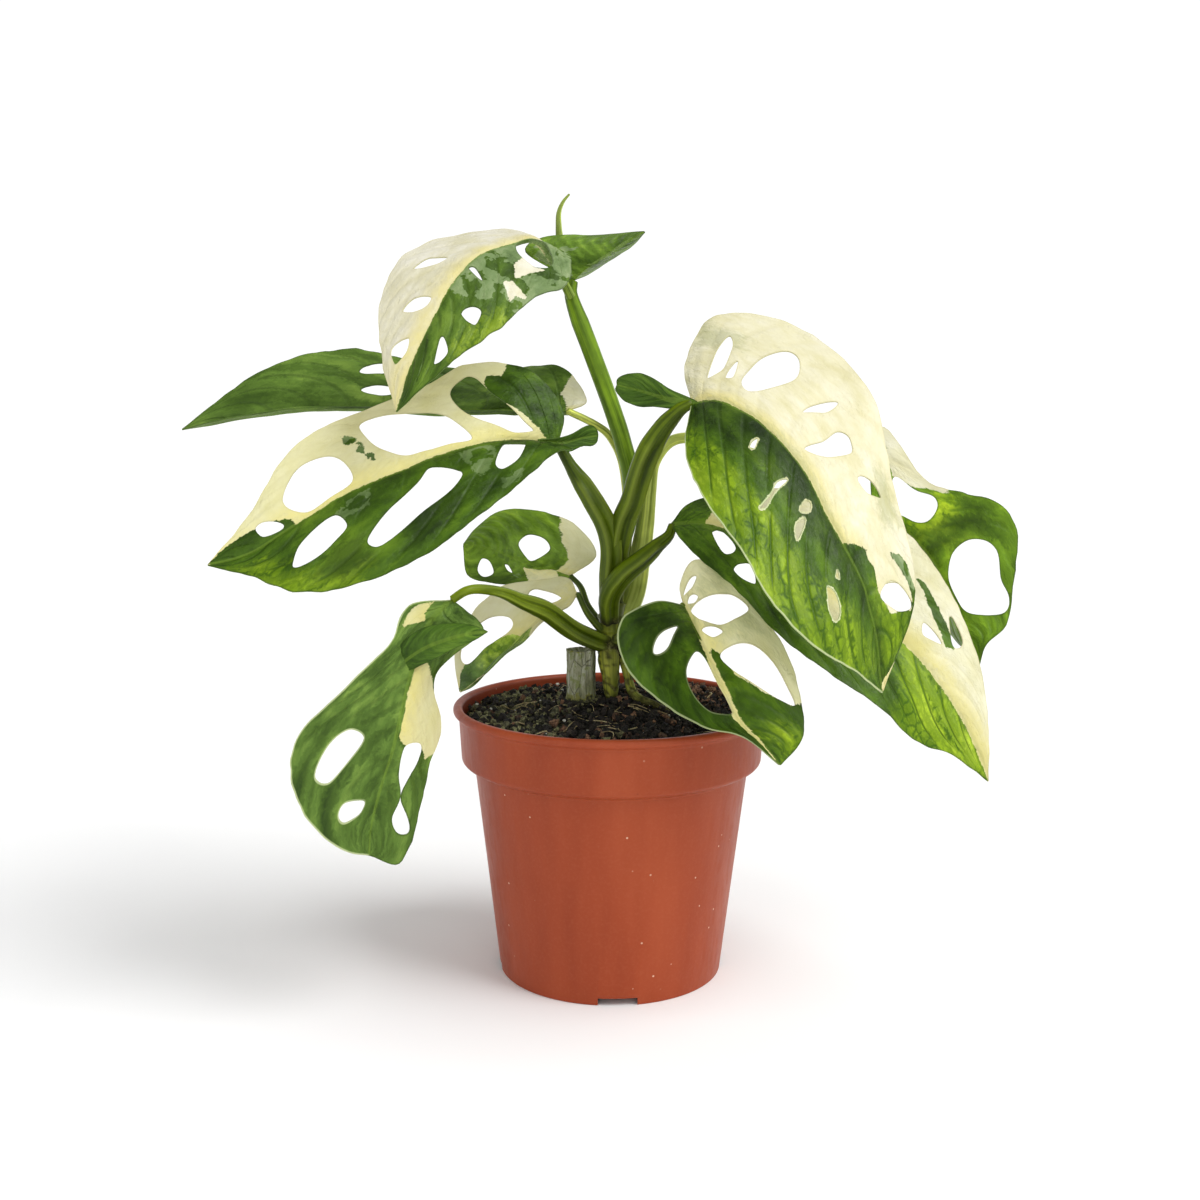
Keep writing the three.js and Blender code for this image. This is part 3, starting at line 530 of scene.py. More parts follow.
LEAVES = {
    "leaf_crown": dict(
        midrib=[(-22, 2, 267), (-28, -2, 275), (-37, -8, 273), (-48, -19, 268), (-56, -30, 258),
            (-62, -41, 245), (-68, -53, 230), (-72, -62, 214)],
        upper=[(-28, 12, 275), (-41, 20, 280), (-59, 12, 277), (-76, -4, 269), (-82, -22, 252),
            (-79, -44, 233)],
        lower=[(-16, -4, 269), (-17, -14, 258), (-28, -26, 253), (-38, -38, 243), (-50, -50, 234),
            (-60, -60, 225)],
        holes=[
            [(59.5, 68), (54.5, 62), (51, 38), (54.5, 40), (58.5, 56)],
            [(72.5, 52), (68, 40), (65.5, 16), (69.5, 20), (72, 36)],
            [(84.5, 66), (81, 44), (79.5, 24), (83.5, 22), (87.5, 46)],
            [(49.5, -6), (48, -12), (50, -32), (50.5, -24)],
            [(64, -44), (60.5, -44), (58.5, -60), (61.5, -70), (64, -70)],
            [(75, -42), (73.5, -48), (76, -76), (80, -78), (81.5, -68)],
            [(27.5, -6), (20.5, -6), (16, -24), (22.5, -60), (27, -64), (32, -52), (31.5, -24)],
        ],
        cream=[
            UPPER_HALF,
            [(37, -38), (32, -32), (32, -54), (30, -64), (36, -62), (42, -62)],
            [(46, -56), (43, -62), (44, -78), (44, -88), (45, -96), (47, -82), (50, -82)],
        ],
        grey=[[(0, 2), (60, 2), (60, -15), (58, -35), (56, -51), (51, -68), (53, -120), (0, -120)]],
        lime=[[(54, -120), (55, -82), (61, -68), (66, -74), (74, -78), (80, -120)]],
        yellow=0.1, tone=(1.3, 1.15, 1.4), pale=(1, 0.99, 1.1),
    ),
    "leaf_young": dict(
        midrib=[(-15, 9, 261), (-10, 6, 265), (-3, 1, 269), (3, -5, 273), (11, -12, 277)],
        upper=[(-33, 15, 271.5), (-25, 22, 278), (-6, 14, 278)],
        lower=[(-9, 18, 264), (-2, 14, 268), (5, 4, 272)],
        grey=[[(0, 15), (20, 50), (50, 40), (35, 90), (0, 80)]],
        tone=(2.8, 2.3, 3),
    ),
    "leaf_far_left": dict(
        midrib=[(-17, 4, 213), (-29, 9, 213), (-47, 14, 213), (-66, 19, 212), (-88, 24, 213),
            (-112, 29, 213), (-140, 34, 210), (-170, 36, 204)],
        upper=[(-10, 8, 217), (-20, 18, 229), (-44, 32, 228), (-74, 44, 230), (-107, 50, 236),
            (-138, 46, 228)],
        lower=[(-24, 2, 212), (-42, 2, 212), (-63, 3, 212), (-83, 6, 213), (-107, 11, 213),
            (-135, 22, 211)],
        holes=[
            [(61, 80), (62, 68), (65, 58), (67, 60), (66, 74), (63, 84)],
            [(57, 36), (58.5, 26), (62.5, 24), (65, 30), (63.5, 40), (59.5, 42)],
        ],
        cream=[[(0, 40), (20, 68), (24, 95), (26, 120), (0, 120)]],
        tone=(1.65, 1.4, 2.3),
    ),
    "leaf_left": dict(
        midrib=[(-20, -8, 201), (-31, -12, 203), (-44, -18, 203), (-60, -24, 199), (-75, -31, 193),
            (-92, -38, 186), (-108, -45, 176), (-124, -51, 166), (-138, -54, 162)],
        upper=[(-19, -2, 214), (-31, 2, 228), (-53, 0, 230), (-70, -8, 221), (-91, -18, 213),
            (-112, -32, 201), (-125, -44, 179)],
        lower=[(-15, -14, 200), (-22, -24, 198), (-40, -38, 183), (-59, -50, 169), (-82, -58, 158),
            (-105, -62, 154), (-123, -58, 159)],
        holes=[
            [(62, 82), (58, 82), (52.5, 74), (45, 56), (38, 36), (31, 8), (36.5, 8), (43, 10), (49.5, 16),
             (56.5, 38), (60.5, 62)],
            [(40.5, 68), (38.5, 82), (35.5, 82), (29.5, 58), (19.5, 34), (14, 24), (19, 12), (28, 24),
             (35.5, 42)],
            [(78.5, 46), (76.5, 62), (73.5, 68), (68, 58), (64, 36), (62, 10), (67.5, 6), (73, 6),
             (77, 24)],
            [(86, 46), (84, 44), (79, 12), (80, 6), (84, 16)],
            [(32, -52), (25.5, -26), (21.5, -38), (28.5, -68), (32.5, -68)],
            [(61, -58), (55.5, -38), (48, -24), (43, -14), (38.5, -38), (42, -52), (49.5, -58), (57.5, -70),
             (60.5, -70)],
            [(76.5, -64), (75, -36), (70.5, -20), (66.5, -18), (64.5, -36), (67.5, -48), (73.5, -64)],
        ],
        lobe=dict(
            midrib=[(-28, -11, 203), (-19, -9, 202), (-12, -7, 203.5), (-5.5, -5, 204.5)],
            upper=[(-21, -10, 203.5), (-15.5, -8, 205), (-11, -6.5, 207.5), (-8, -6, 208),
                (-6, -5.5, 206.5)],
            lower=[(-20, -10, 199), (-15.5, -8.5, 198.5), (-11.5, -7, 200.5), (-8, -6, 200.5),
                (-6, -5.5, 202)],
        ),
        cream=[UPPER_HALF],
        uncream=[
            [(0, 0), (12, 31), (30, 54), (33, 73), (33, 83), (30, 84), (30, 120), (0, 120)],
            [(76, 0), (77, 10), (80, 22), (84, 35), (87, 50), (90, 62), (93, 70), (97, 80), (105, 90),
             (105, -20), (90, -20)],
            [(66, 76), (64, 72), (62, 62), (63, 56), (65, 64)],
            [(62, 58), (61, 56), (60, 42), (60, 38), (62, 46)],
            [(60, 38), (58, 36), (57, 24), (57, 22), (59, 30)],
            [(66, 36), (65, 38), (64, 28), (64, 26)],
        ],
        grey=[
            [(35, -10), (28, -12), (29, -35), (34, -57), (37, -60)],
            [(34, -76), (30, -86), (33, -96), (35, -91)],
            [(68, -21), (63, -10), (58, -7), (59, -24), (65, -27)],
            [(67, 88), (56, 40), (54, 8), (61, 32), (66, 28)],
        ],
        lime=[[(94, -114), (84, -44), (71, -84), (62, -82), (66, -114), (75, -114), (88, -114)]],
        # deep_and_shade patches: darker green, partly painted shade
        deep_and_shade=[
            [(68, -48), (62, -56), (61, -82), (66, -90), (71, -80)],
            [(55, -54), (44, -44), (40, -66), (46, -82), (55, -88)],
        ],
        yellow=0.45, tone=(0.85, 0.85, 0.5), pale=(1.05, 1.05, 1.03), veil=0.45,
    ),
    "leaf_hanging": dict(
        midrib=[(-56, -43, 149), (-63, -46, 142), (-67, -49, 133), (-70, -52, 122), (-73, -54, 110),
            (-76, -56, 97), (-80, -58, 85), (-83, -59, 73), (-84, -60, 62)],
        upper=[(-71, -44, 147), (-77, -52, 135), (-91, -58, 121), (-107, -60, 105), (-110, -61, 89),
            (-104, -61, 74), (-93, -60, 64)],
        lower=[(-50.5, -45, 145), (-45, -48, 139), (-55.5, -48, 130), (-62.5, -46, 120.5),
            (-60.5, -42, 103), (-64, -46, 92.5), (-66, -50, 81), (-73, -56, 59)],
        holes=[
            [(63.5, 76), (56.5, 68), (52.5, 58), (51.5, 46), (55, 32), (60.5, 42), (66, 62)],
            [(77, 62), (74, 48), (76.5, 22), (80, 30), (80, 58)],
            [(60.5, -24), (60, -58), (66, -70), (74.5, -52), (79, -52), (83.5, -88), (85, -62), (83, -42),
             (78, -48), (70.5, -32)],
        ],
        lobe=dict(
            midrib=[(-75, -50, 126), (-66, -54, 133), (-57.5, -56, 137), (-48.5, -57, 139.5),
                (-42.5, -56, 140)],
            upper=[(-75.5, -50, 131.5), (-67, -52, 139.5), (-57.5, -54, 142.5), (-48, -55, 142)],
            lower=[(-70.5, -51, 125.5), (-62.5, -55, 129.5), (-55.5, -57, 133.5), (-48.5, -57, 136.5)],
        ),
        cream=[
            [(33, -4), (32, -32), (44, -92), (50, -114), (54, -114), (60, -114), (64, -114), (66, -84),
             (60, -58), (60, -22), (57, -6), (45, -8)],
            [(20, 82), (17, 82), (13, 78), (10, 84), (4, 86), (14, 14)],
        ],
        yellow=0.55, pale_margin=1, tone=(1.65, 1.4, 2.5),
    ),
    "leaf_big_right": dict(
        midrib=[(27, -30, 217), (37, -38, 218), (51, -48, 210), (63, -58, 196), (72, -66, 178),
            (81, -72, 161), (86, -76, 141), (88, -78, 124)],
        upper=[(26, -10, 231), (38, 6, 248), (67, 0, 244), (90, -24, 221), (95, -46, 190), (100, -66, 156)],
        lower=[(24, -52, 201), (29, -72, 187), (40, -84, 172), (49, -92, 157), (63, -92, 142),
            (76, -86, 134)],
        holes=[
            [(16, 46), (21.5, 62), (26, 72), (29.5, 78), (28.5, 66), (22.5, 48)],
            [(22, 38), (24.5, 46), (28.5, 54), (24.5, 38)],
            [(26.5, 34), (31.5, 50), (36.5, 66), (41, 76), (43, 72), (41.5, 56), (35, 38), (27.5, 26)],
            [(43, 36), (47, 52), (51.5, 68), (49, 52)],
            [(43, 12), (49, 32), (52.5, 50), (55.5, 56), (56.5, 48), (50.5, 26)],
            [(60.5, 42), (61, 48), (65, 60), (69, 68), (64.5, 48)],
            [(79, 22), (79, 40), (81, 58), (84.5, 78), (87.5, 92), (85.5, 56), (82, 32)],
            [(29.5, -30), (29, -24), (29.5, -18), (30.5, -28)],
            [(40.5, -62), (40.5, -44), (40, -32), (41.5, -22), (41, -40), (41.5, -56)],
            [(48.5, -28), (48, -18), (49.5, -12), (50.5, -18)],
            [(52.5, -46), (50, -38), (51, -26), (52.5, -38)],
            [(65.5, -30), (65, -24), (66.5, -28)],
            [(66.5, -50), (65.5, -44), (68, -42), (71.5, -50), (72, -62), (69, -60)],
        ],
        lobe=dict(
            midrib=[(30, -32, 217), (20, -29.5, 218), (14.5, -27, 219.5), (7.5, -24, 221.5),
                (1, -20.5, 223)],
            upper=[(26, -31, 219), (19, -29, 222), (15.5, -28, 224.5), (11.5, -26, 226.5), (8, -24, 227.5),
                (3, -22, 226.5), (1, -21, 225)],
            lower=[(26, -31, 215), (19, -29, 215), (14, -27, 215.5), (9, -25, 215.5), (6, -23.5, 216.5),
                (3, -22, 218), (0.5, -21, 221)],
        ),
        cream=[
            UPPER_HALF,
            [(83, 2), (84, 10), (87, 28), (88, 34), (86, 16)],
        ],
        uncream=[[(62, 0), (70, 22), (71, 18), (74, 24), (78, 20), (84, 34), (88, 94), (84, 84), (78, 62),
            (76, 56), (79, 78), (84, 94), (90, 114), (93, 114), (96, 94), (99, -114)]],
        grey=[[(76, 56), (79, 78), (84, 94), (90, 114), (93, 114), (92, 114), (88, 114), (84, 84),
            (78, 62)]],
        lime=[
            [(7, -90), (12, -72), (20, -60), (30, -58), (40, -58), (50, -56), (60, -52), (70, -40),
             (80, -28), (91, -30), (92, -120), (5, -120)],
            [(76, 14), (96, 10), (93, 95), (86, 85), (80, 40)],
        ],
        deep_and_shade=[
            [(0, 5), (0, -120), (6, -90), (12, -60), (20, -42), (35, -38), (50, -36), (62, -22), (78, -16),
             (92, -10), (97, 5)],
            [(20, 92), (25, 114), (26, 114), (26, 90), (33, 78), (31, 66), (25, 68)],
            [(64, 68), (69, 88), (76, 92), (73, 62), (68, 58)],
        ],
        yellow=0.05, tone=(0.97, 0.97, 0.5), pale_margin=-1, pale=(1.02, 1, 0.98),
        pale_slits=(7, 8, 9, 10, 11, 12),
    ),
    "leaf_long_right": dict(
        midrib=[(21, -8, 172), (34, -12, 173), (50, -18, 168), (67, -24, 158), (85, -30, 147),
            (103, -36, 133), (116, -41, 118), (125, -45, 103), (132, -48, 86)],
        upper=[(31, 0, 180), (55, 4, 184), (85, 0, 181), (107, -8, 170), (120, -20, 153), (129, -32, 131),
            (132, -42, 110)],
        lower=[(28, -22, 164), (44, -34, 151), (59, -44, 136), (76, -50, 124), (92, -52, 114),
            (106, -50, 101), (120, -49, 95)],
        holes=[
            [(15.5, -24), (17.5, -10), (22, -32), (20.5, -56), (18, -48)],
            [(23, -74), (24, -56), (26.5, -46), (28.5, -66), (25.5, -76)],
            [(63.5, 38), (65.5, 42), (69, 42), (66.5, 30), (64.5, 26)],
            [(67.5, 74), (68, 82), (72, 80), (72.5, 68), (71, 58)],
            [(60, 36), (58.5, 50), (55, 48), (53, 34), (54.5, 20), (58, 22)],
        ],
        cream=[
            [(12, 0), (100, 0), (100, 120), (22, 120)],
            [(40, 6), (46, 22), (50, 0), (50, -38), (46, -58), (42, -32)],
        ],
        uncream=[[(57, 68), (60, 66), (62, 60), (66, 52), (68, 50), (70, 44), (72, 56), (71, 64), (69, 64),
            (66, 68), (64, 70), (61, 72), (58, 72)]],
        lime=[[(62, 2), (100, 2), (100, -120), (68, -120)]],
        tone=(1.25, 1.2, 0.8),
    ),
    "leaf_far_right": dict(
        midrib=[(100, 20, 178), (108, 21, 173), (115, 20, 166), (122, 17, 158), (128, 13, 148),
            (132, 8, 137), (136, 3, 127), (139, -1, 118)],
        upper=[(100, 24, 195), (105, 26, 207), (121, 24, 187), (136, 21, 182), (149, 17, 178),
            (155, 13, 167), (153, 8, 148), (150, 4, 133), (142, 1, 126)],
        lower=[(108, 30, 167), (114, 34, 159), (121, 40, 148), (128, 40, 137), (133, 32, 128),
            (137, 18, 122)],
        holes=[
            [(19.5, 42), (27, 66), (32.5, 82), (35.5, 66), (34.5, 38), (27.5, 20), (19, 10)],
            [(56.5, 6), (50.5, 22), (50.5, 44), (54.5, 60), (60, 70), (67, 76), (72.5, 94), (76, 88),
             (75.5, 48), (72.5, 16), (65, 6)],
        ],
        cream=[[(18, 114), (20, 46), (26, 62), (29, 78), (30, 82), (32, 92), (36, 92), (36, 114),
            (30, 114)]],
        lime=[[(21, 14), (29, 24), (36, 38), (36, 68), (34, 86), (38, 82), (42, 66), (38, 26), (25, 6)]],
        deep_and_shade=[[(32, 6), (38, 48), (41, 68), (48, 82), (52, 68), (50, 36), (44, 2)]],
        tone=(2.4, 2.1, 1),
    ),
    "leaf_front": dict(
        midrib=[(25, -34, 146), (28, -38, 141), (31, -42, 135), (35, -46, 127), (39, -50, 119),
            (44, -53, 109), (52, -55, 101), (58, -54, 93)],
        upper=[(15, -44, 149), (3, -52, 144), (3, -58, 131), (14, -62, 119), (30, -62, 109),
            (45, -59, 104)],
        lower=[(24, -28, 153), (31, -24, 161), (47, -28, 150), (61, -36, 131), (66, -44, 114),
            (66, -50, 102)],
        holes=[
            [(39.5, 64), (33, 56), (28, 44), (25, 32), (35.5, 44), (39.5, 56)],
            [(40.5, 24), (36.5, 12), (41, 6), (55.5, 6), (67.5, 6), (66, 46), (57.5, 48), (48.5, 38)],
            [(17.5, -28), (28.5, -48), (36.5, -72), (40.5, -84), (45.5, -88), (43.5, -64), (38, -38),
             (26, -22)],
            [(29, -12), (36.5, -32), (41, -38), (37, -20)],
            [(13.5, -68), (20.5, -78), (26.5, -78), (22.5, -64)],
            [(16, -44), (19.5, -54), (26.5, -52), (23.5, -42)],
            [(44.5, -14), (46.5, -36), (51, -60), (56, -72), (64.5, -82), (72.5, -88), (66.5, -56),
             (55, -24)],
        ],
        cream=[
            [(28, 3), (45, 6), (60, 10), (75, 17), (88, 26), (98, 30), (97, 2), (90, -2), (70, -3),
             (50, -3), (30, -3)],
            [(0, 0), (36, -2), (39, -11), (44, -16), (55, -20), (64, -44), (72, -80), (73, -120),
             (0, -120)],
        ],
        grey=[[(16, -22), (40, -40), (45, -68), (47, -88), (50, -84), (48, -62), (44, -34), (32, -8)]],
        lime=[[(81, -12), (78, -64), (82, -90), (89, -96), (98, -78)]],
        deep_and_shade=[
            [(28, 114), (14, 114), (19, -48), (32, 22), (55, 72), (43, 82), (37, 114)],
            [(32, -40), (40, -46), (45, -76), (46, -88), (50, -84), (48, -62), (42, -34), (34, -20)],
            [(27, -64), (34, -84), (40, -114), (42, -114), (36, -80), (30, -56)],
        ],
        # pale brightens this leaf's shaded cream: painted light in place of light through the blade
        yellow=0.4, tone=(1.05, 1.05, 0.4), pale=(1.35, 1.35, 1.35), rib=1.2, pale_margin=0.4,
    ),
    "leaf_curled": dict(
        midrib=[(-16, 19, 149), (-24, 18, 152), (-32, 16, 154), (-39, 14, 157), (-45, 12, 160),
            (-52, 11, 162), (-57, 10, 162)],
        upper=[(-6, 24, 157), (-16, 30, 169), (-32, 34, 173), (-44, 32, 173), (-53, 24, 167)],
        lower=[(-18, 14, 148), (-25, 12, 148), (-33, 10, 147), (-44, 10, 147), (-55, 10, 150)],
        holes=[
            [(48, 24), (46.5, 48), (38.5, 52), (31, 40), (31, 18), (35.5, 6)],
            [(78, -68), (76.5, -36), (71, -38), (68.5, -68), (74, -84)],
            [(59.5, -38), (56.5, -38), (55.5, -60), (58.5, -54)],
        ],
        cream=[
            [(0, -50), (4, -45), (18, 40), (28, 60), (35, 78), (41, 120), (0, 120)],
            [(45, -36), (30, -36), (10, 2), (2, 88), (24, -114), (48, -114), (46, -68)],
        ],
        grey=[[(58, -65), (51, -84), (50, -60)]],
        deep_and_shade=[[(84, -82), (30, -36), (21, 32), (56, -114), (72, -114)]],
        yellow=0.3, tone=(2.9, 2.35, 2.2), pale=(1.2, 1.2, 1.25),
    ),
    "leaf_low_left": dict(
        midrib=[(-13, -6, 146), (-21, -7, 142), (-29, -9, 136), (-37, -9, 128), (-45, -7, 120),
            (-52, -3, 111), (-58, 3, 106)],
        upper=[(-17, 0, 151), (-29, 5, 149), (-43, 8, 146), (-54, 10, 135), (-60, 8, 120)],
        lower=[(-16, -10, 142), (-25, -15, 137), (-33, -17, 129), (-40, -14, 124), (-48, -8, 115)],
        holes=[
            [(37, 66), (32, 76), (14, 18), (23.5, 18), (32.5, 46)],
            [(65, 72), (57, 62), (48, 38), (49, 20), (64.5, 26), (78.5, 40), (82, 70), (76.5, 84)],
        ],
        cream=[[(0, -120), (100, -120), (100, 120), (0, 120)]],
        uncream=[[(98, 58), (86, 54), (76, 46), (66, 36), (57, 22), (47, 8), (38, -52), (46, -114),
            (58, -114), (72, -114), (82, -114), (88, -28), (98, -28)]],
        lime=[[(58, 68), (29, -2), (44, -114), (73, 18)]],
        yellow=0.3, tone=(2, 1.7, 4),
    ),
}

SPACING = 1.25  # between neighbouring points of a blade
HOLE_FACETS = 6  # for each listed point of a hole
PATCH_STEPS = 8  # along each side of a patch
ROW_STEP = 0.87  # between the rows of a blade's points, as a share of their spacing
FIELD_HALF = 70  # wider than half of any blade
RIB_ROWS = (0, 0.5, -0.5, 1.1, -1.1)  # rows of points along the midrib, by their distance from it
RIB_ROOM = 1.7  # the other points are this far from the midrib
EDGE_ROOM = 0.35  # and this far in from the margin across the blade
LOOP_ROOM = 0.4  # and this far from every outline
THICKNESS = 0.45
ARCH = 0.015  # rise of each half of a blade, as a share of its width
VEIN_SWEEP = 0.28  # how far along the blade a vein runs on its way out to the margin
VEIN_GAP = 0.085  # usual distance between lateral veins, as a share of the blade
FIRST_VEIN = -0.55  # where the first vein would leave the midrib, before the blade's base
MARGIN_RIPPLE = 0.6
SLIT_RIM = 0.45  # width of the cream rim round a pale slit
LARGE_HOLE = 0.2  # a hole this large lies between two lateral veins
NEVER = -60.0  # a patch field this low shows nowhere
TOWARDS_TOP = np.array([0, -0.5, 1])  # a blade's upper face looks up and at the viewer

# A blade's look where its entry doesn't give it: how yellow its cream is, how grey its grey patches
# are, and what its green and its cream are multiplied by. These multipliers are partly each leaf's own
# colour and partly painted light, brightening or darkening a leaf for how much light reaches it.
USUAL_LOOK = {"yellow": 0.1, "veil": 0.9, "tone": (1.0, 1.0, 1.0), "pale": (1.0, 1.0, 1.0)}


class Blade:
    """One blade's surface, and the flat sheet in millimetres that it is laid out on."""

    def __init__(self, spec):
        self.rib = spec["midrib"]
        self.upper = [self.rib[0], *spec["upper"], self.rib[-1]]
        self.lower = [self.rib[0], *spec["lower"], self.rib[-1]]
        self.length = spaced(self.rib, 1)[1]
        self.marks = np.linspace(0, 1, 200)
        self.upper_widths, self.lower_widths = (
            np.linalg.norm(spline(margin, self.marks) - spline(self.rib, self.marks), axis=1)
            for margin in (self.upper, self.lower))

    def at(self, u, v):
        """Points in space, u along the blade and v out from its midrib."""
        u, v = np.asarray(u, float), np.asarray(v, float)
        middle = spline(self.rib, u)
        edge = np.where((v >= 0)[..., None], spline(self.upper, u), spline(self.lower, u))
        return middle + (edge - middle) * np.abs(v)[..., None]

    def width(self, u, side):
        upper = np.interp(u, self.marks, self.upper_widths)
        lower = np.interp(u, self.marks, self.lower_widths)
        return np.where(np.asarray(side) >= 0, upper, lower)

    def flat(self, u, v):
        return np.stack([u * self.length, v * self.width(u, v)], axis=-1)

    def shares(self, flat):
        u = flat[..., 0] / self.length
        return u, flat[..., 1] / np.maximum(self.width(u, flat[..., 1]), 1e-3)

    def laid_out(self, patch):
        """A patch's outline on the flat sheet, with points added along its sides."""
        corners = np.array(patch) / 100
        sides = zip(corners, np.roll(corners, -1, axis=0))
        outline = [a + (b - a) * k / PATCH_STEPS for a, b in sides for k in range(PATCH_STEPS)]
        u, v = np.array(outline).T
        within = np.clip(u, 0, 1)
        flat = self.flat(within, v)
        flat[:, 0] += (u - within) * self.length
        return flat


def inside(points, polygon):
    """Which points lie in the polygon."""
    x, y = points[:, 0], points[:, 1]
    found = np.zeros(len(points), bool)
    for (x0, y0), (x1, y1) in zip(polygon, np.roll(polygon, -1, axis=0)):
        crosses = (y0 > y) != (y1 > y)
        found ^= crosses & (x < (x1 - x0) * (y - y0) / (y1 - y0 + 1e-12) + x0)
    return found


def edge_distance(points, polygon):
    best = np.full(len(points), 1e9)
    for a, b in zip(polygon, np.roll(polygon, -1, axis=0)):
        way = b - a
        t = np.clip(((points - a) @ way) / max(way @ way, 1e-12), 0, 1)
        best = np.minimum(best, np.linalg.norm(points - a - t[:, None] * way, axis=1))
    return best


def signed(points, polygon):
    """Distance in from the polygon's edge, negative outside."""
    return np.where(inside(points, polygon), 1, -1) * edge_distance(points, polygon)


def filling(blade, u_line, loops):
    """Points inside the flat blade: rows along its midrib, and a triangular field clear of the
    outline loops."""
    length = blade.length

    def row(xs, y):
        return np.stack([xs, np.full(len(xs), float(y))], axis=1)

    ribs = [row(u_line[1:-1] * length, offset) for offset in RIB_ROWS]
    xs = np.arange(SPACING, length, SPACING)
    ys = np.arange(-FIELD_HALF, FIELD_HALF, SPACING * ROW_STEP)
    field = np.vstack([row(xs + (k % 2) * SPACING / 2, y) for k, y in enumerate(ys)])
    free = np.vstack([*ribs, field[np.abs(field[:, 1]) > RIB_ROOM]])
    u = free[:, 0] / length
    free = free[(u > 0) & (u < 1)]
    room = blade.width(free[:, 0] / length, free[:, 1])
    free = free[np.abs(free[:, 1]) < room - EDGE_ROOM]
    for number, loop in enumerate(loops):
        keep = edge_distance(free, loop) > LOOP_ROOM
        if number > 0:
            keep &= ~inside(free, loop)
        free = free[keep]
    return free


def triangulate(blade, holes):
    """The flat blade's points, its triangles and its outline loops: the margin, then the holes."""
    u_line = np.linspace(0.3 / blade.length, 1 - 0.3 / blade.length, max(12, int(blade.length / SPACING)))
    ones = np.ones(len(u_line))
    margin = np.vstack([blade.flat(u_line, ones), blade.flat(u_line[::-1], -ones)])
    loops = [margin, *(blade.flat(*hole.T) for hole in holes)]
    points, edges = [], []
    for loop in loops:
        edges += [(len(points) + i, len(points) + j) for i, j in neighbours(len(loop))]
        points.extend(loop)
    points.extend(filling(blade, u_line, loops))
    verts, _, faces, _, _, _ = delaunay_2d_cdt([Vector(p) for p in points], edges, [], 0, 1e-5, True)
    verts = np.array([v[:] for v in verts])
    faces = np.array([f for f in faces if len(f) == 3])
    centre = verts[faces].mean(axis=1)
    keep = inside(centre, margin)
    for hole in loops[1:]:
        keep &= ~inside(centre, hole)
    used, faces = np.unique(faces[keep], return_inverse=True)
    return verts[used], faces.reshape(-1, 3), loops


def vertex_normals(points, faces):
    a, b, c = points[faces[:, 0]], points[faces[:, 1]], points[faces[:, 2]]
    face = np.cross(b - a, c - a)
    total = np.zeros_like(points)
    for k in range(3):
        np.add.at(total, faces[:, k], face)
    return unit(total)


def vein_marks(holes, side):
    """Where the lateral veins of one side leave the midrib: between the holes, and filling gaps."""
    middles = []
    for hole in holes:
        along, across = np.mean(hole, axis=0)
        if across * side > 0 and np.ptp(hole, axis=0).max() > LARGE_HOLE:
            middles.append(along - VEIN_SWEEP * abs(across))
    middles.sort()
    marks = [FIRST_VEIN]
    between = [(a + b) / 2 for a, b in zip(middles, middles[1:]) if b - a > 0.05]
    for mark in [*between, 1.0]:
        last = marks[-1]
        steps = max(1, round((mark - last) / VEIN_GAP))
        marks.extend(last + (mark - last) / steps * (k + 1) for k in range(steps))
    return np.array(marks)


class Sheet:
    """A blade cut into triangles. It holds each point's place on the flat sheet and its shares u and
    v of the blade, its distance from the midrib, where the vein through it leaves the midrib, which
    vein that is, counted from the base, and how far apart the veins are there."""

    def __init__(self, spec):
        holes = [np.array(hole) / 100 for hole in spec.get("holes", ())]
        self.blade = Blade(spec)
        outlines = [closed_spline(hole, HOLE_FACETS) for hole in holes]
        self.flat, self.faces, self.loops = triangulate(self.blade, outlines)
        self.u, v = self.blade.shares(self.flat)
        self.v = np.clip(v, -1, 1)
        normals = vertex_normals(self.blade.at(self.u, self.v), self.faces)
        if (normals @ TOWARDS_TOP).mean() < 0:
            self.faces = self.faces[:, ::-1]
        self.dmid = np.abs(self.flat[:, 1])
        self.start = self.u - VEIN_SWEEP * np.abs(self.v) ** 1.5
        self.vein, self.gap = np.zeros(len(v)), np.zeros(len(v))
        for side, here in ((1, self.v >= 0), (-1, self.v < 0)):
            marks, start = vein_marks(holes, side), self.start[here]
            self.vein[here] = np.interp(start, marks, np.arange(len(marks)))
            widths = np.interp(start, (marks[1:] + marks[:-1]) / 2, np.diff(marks))
            self.gap[here] = widths * self.blade.length


def formed(sheet, seed):
    """Points and normals of the blade's middle surface. It arches, swells between its veins, has a
    crease along its midrib, and is uneven, with a rippled margin. All of this fades at its ends."""
    blade, u, v, faces = sheet.blade, sheet.u, sheet.v, sheet.faces
    place = blade.at(u, v)
    out = np.abs(v)
    swell = np.abs(np.sin(np.pi * sheet.vein)) ** 0.8 * 0.035 * sheet.gap
    swell *= smoothstep(sheet.dmid, 0.6, 6) * (1 - 0.5 * smoothstep(out, 0.7, 1))
    lift = ARCH * blade.width(u, v) * np.sin(np.pi * out) + swell - 0.55 * hill(sheet.dmid, 0, 1.2)
    lift += wobble(place, 24, seed) * 0.9 * (0.25 + 0.75 * out)
    lift += wobble(place, 9, seed + 5) * 0.4
    outward = unit(blade.at(u, np.where(v < 0, -1.0, 1.0)) - blade.at(u, np.zeros(len(u))))
    ripple = MARGIN_RIPPLE * wobble(place, 5, seed + 9) * out ** 8
    fade = smoothstep(u * blade.length, 1, 14) * smoothstep((1 - u) * blade.length, 0, 10)
    shift = vertex_normals(place, faces) * lift[:, None] + outward * ripple[:, None]
    place = place + shift * fade[:, None]
    return place, vertex_normals(place, faces)


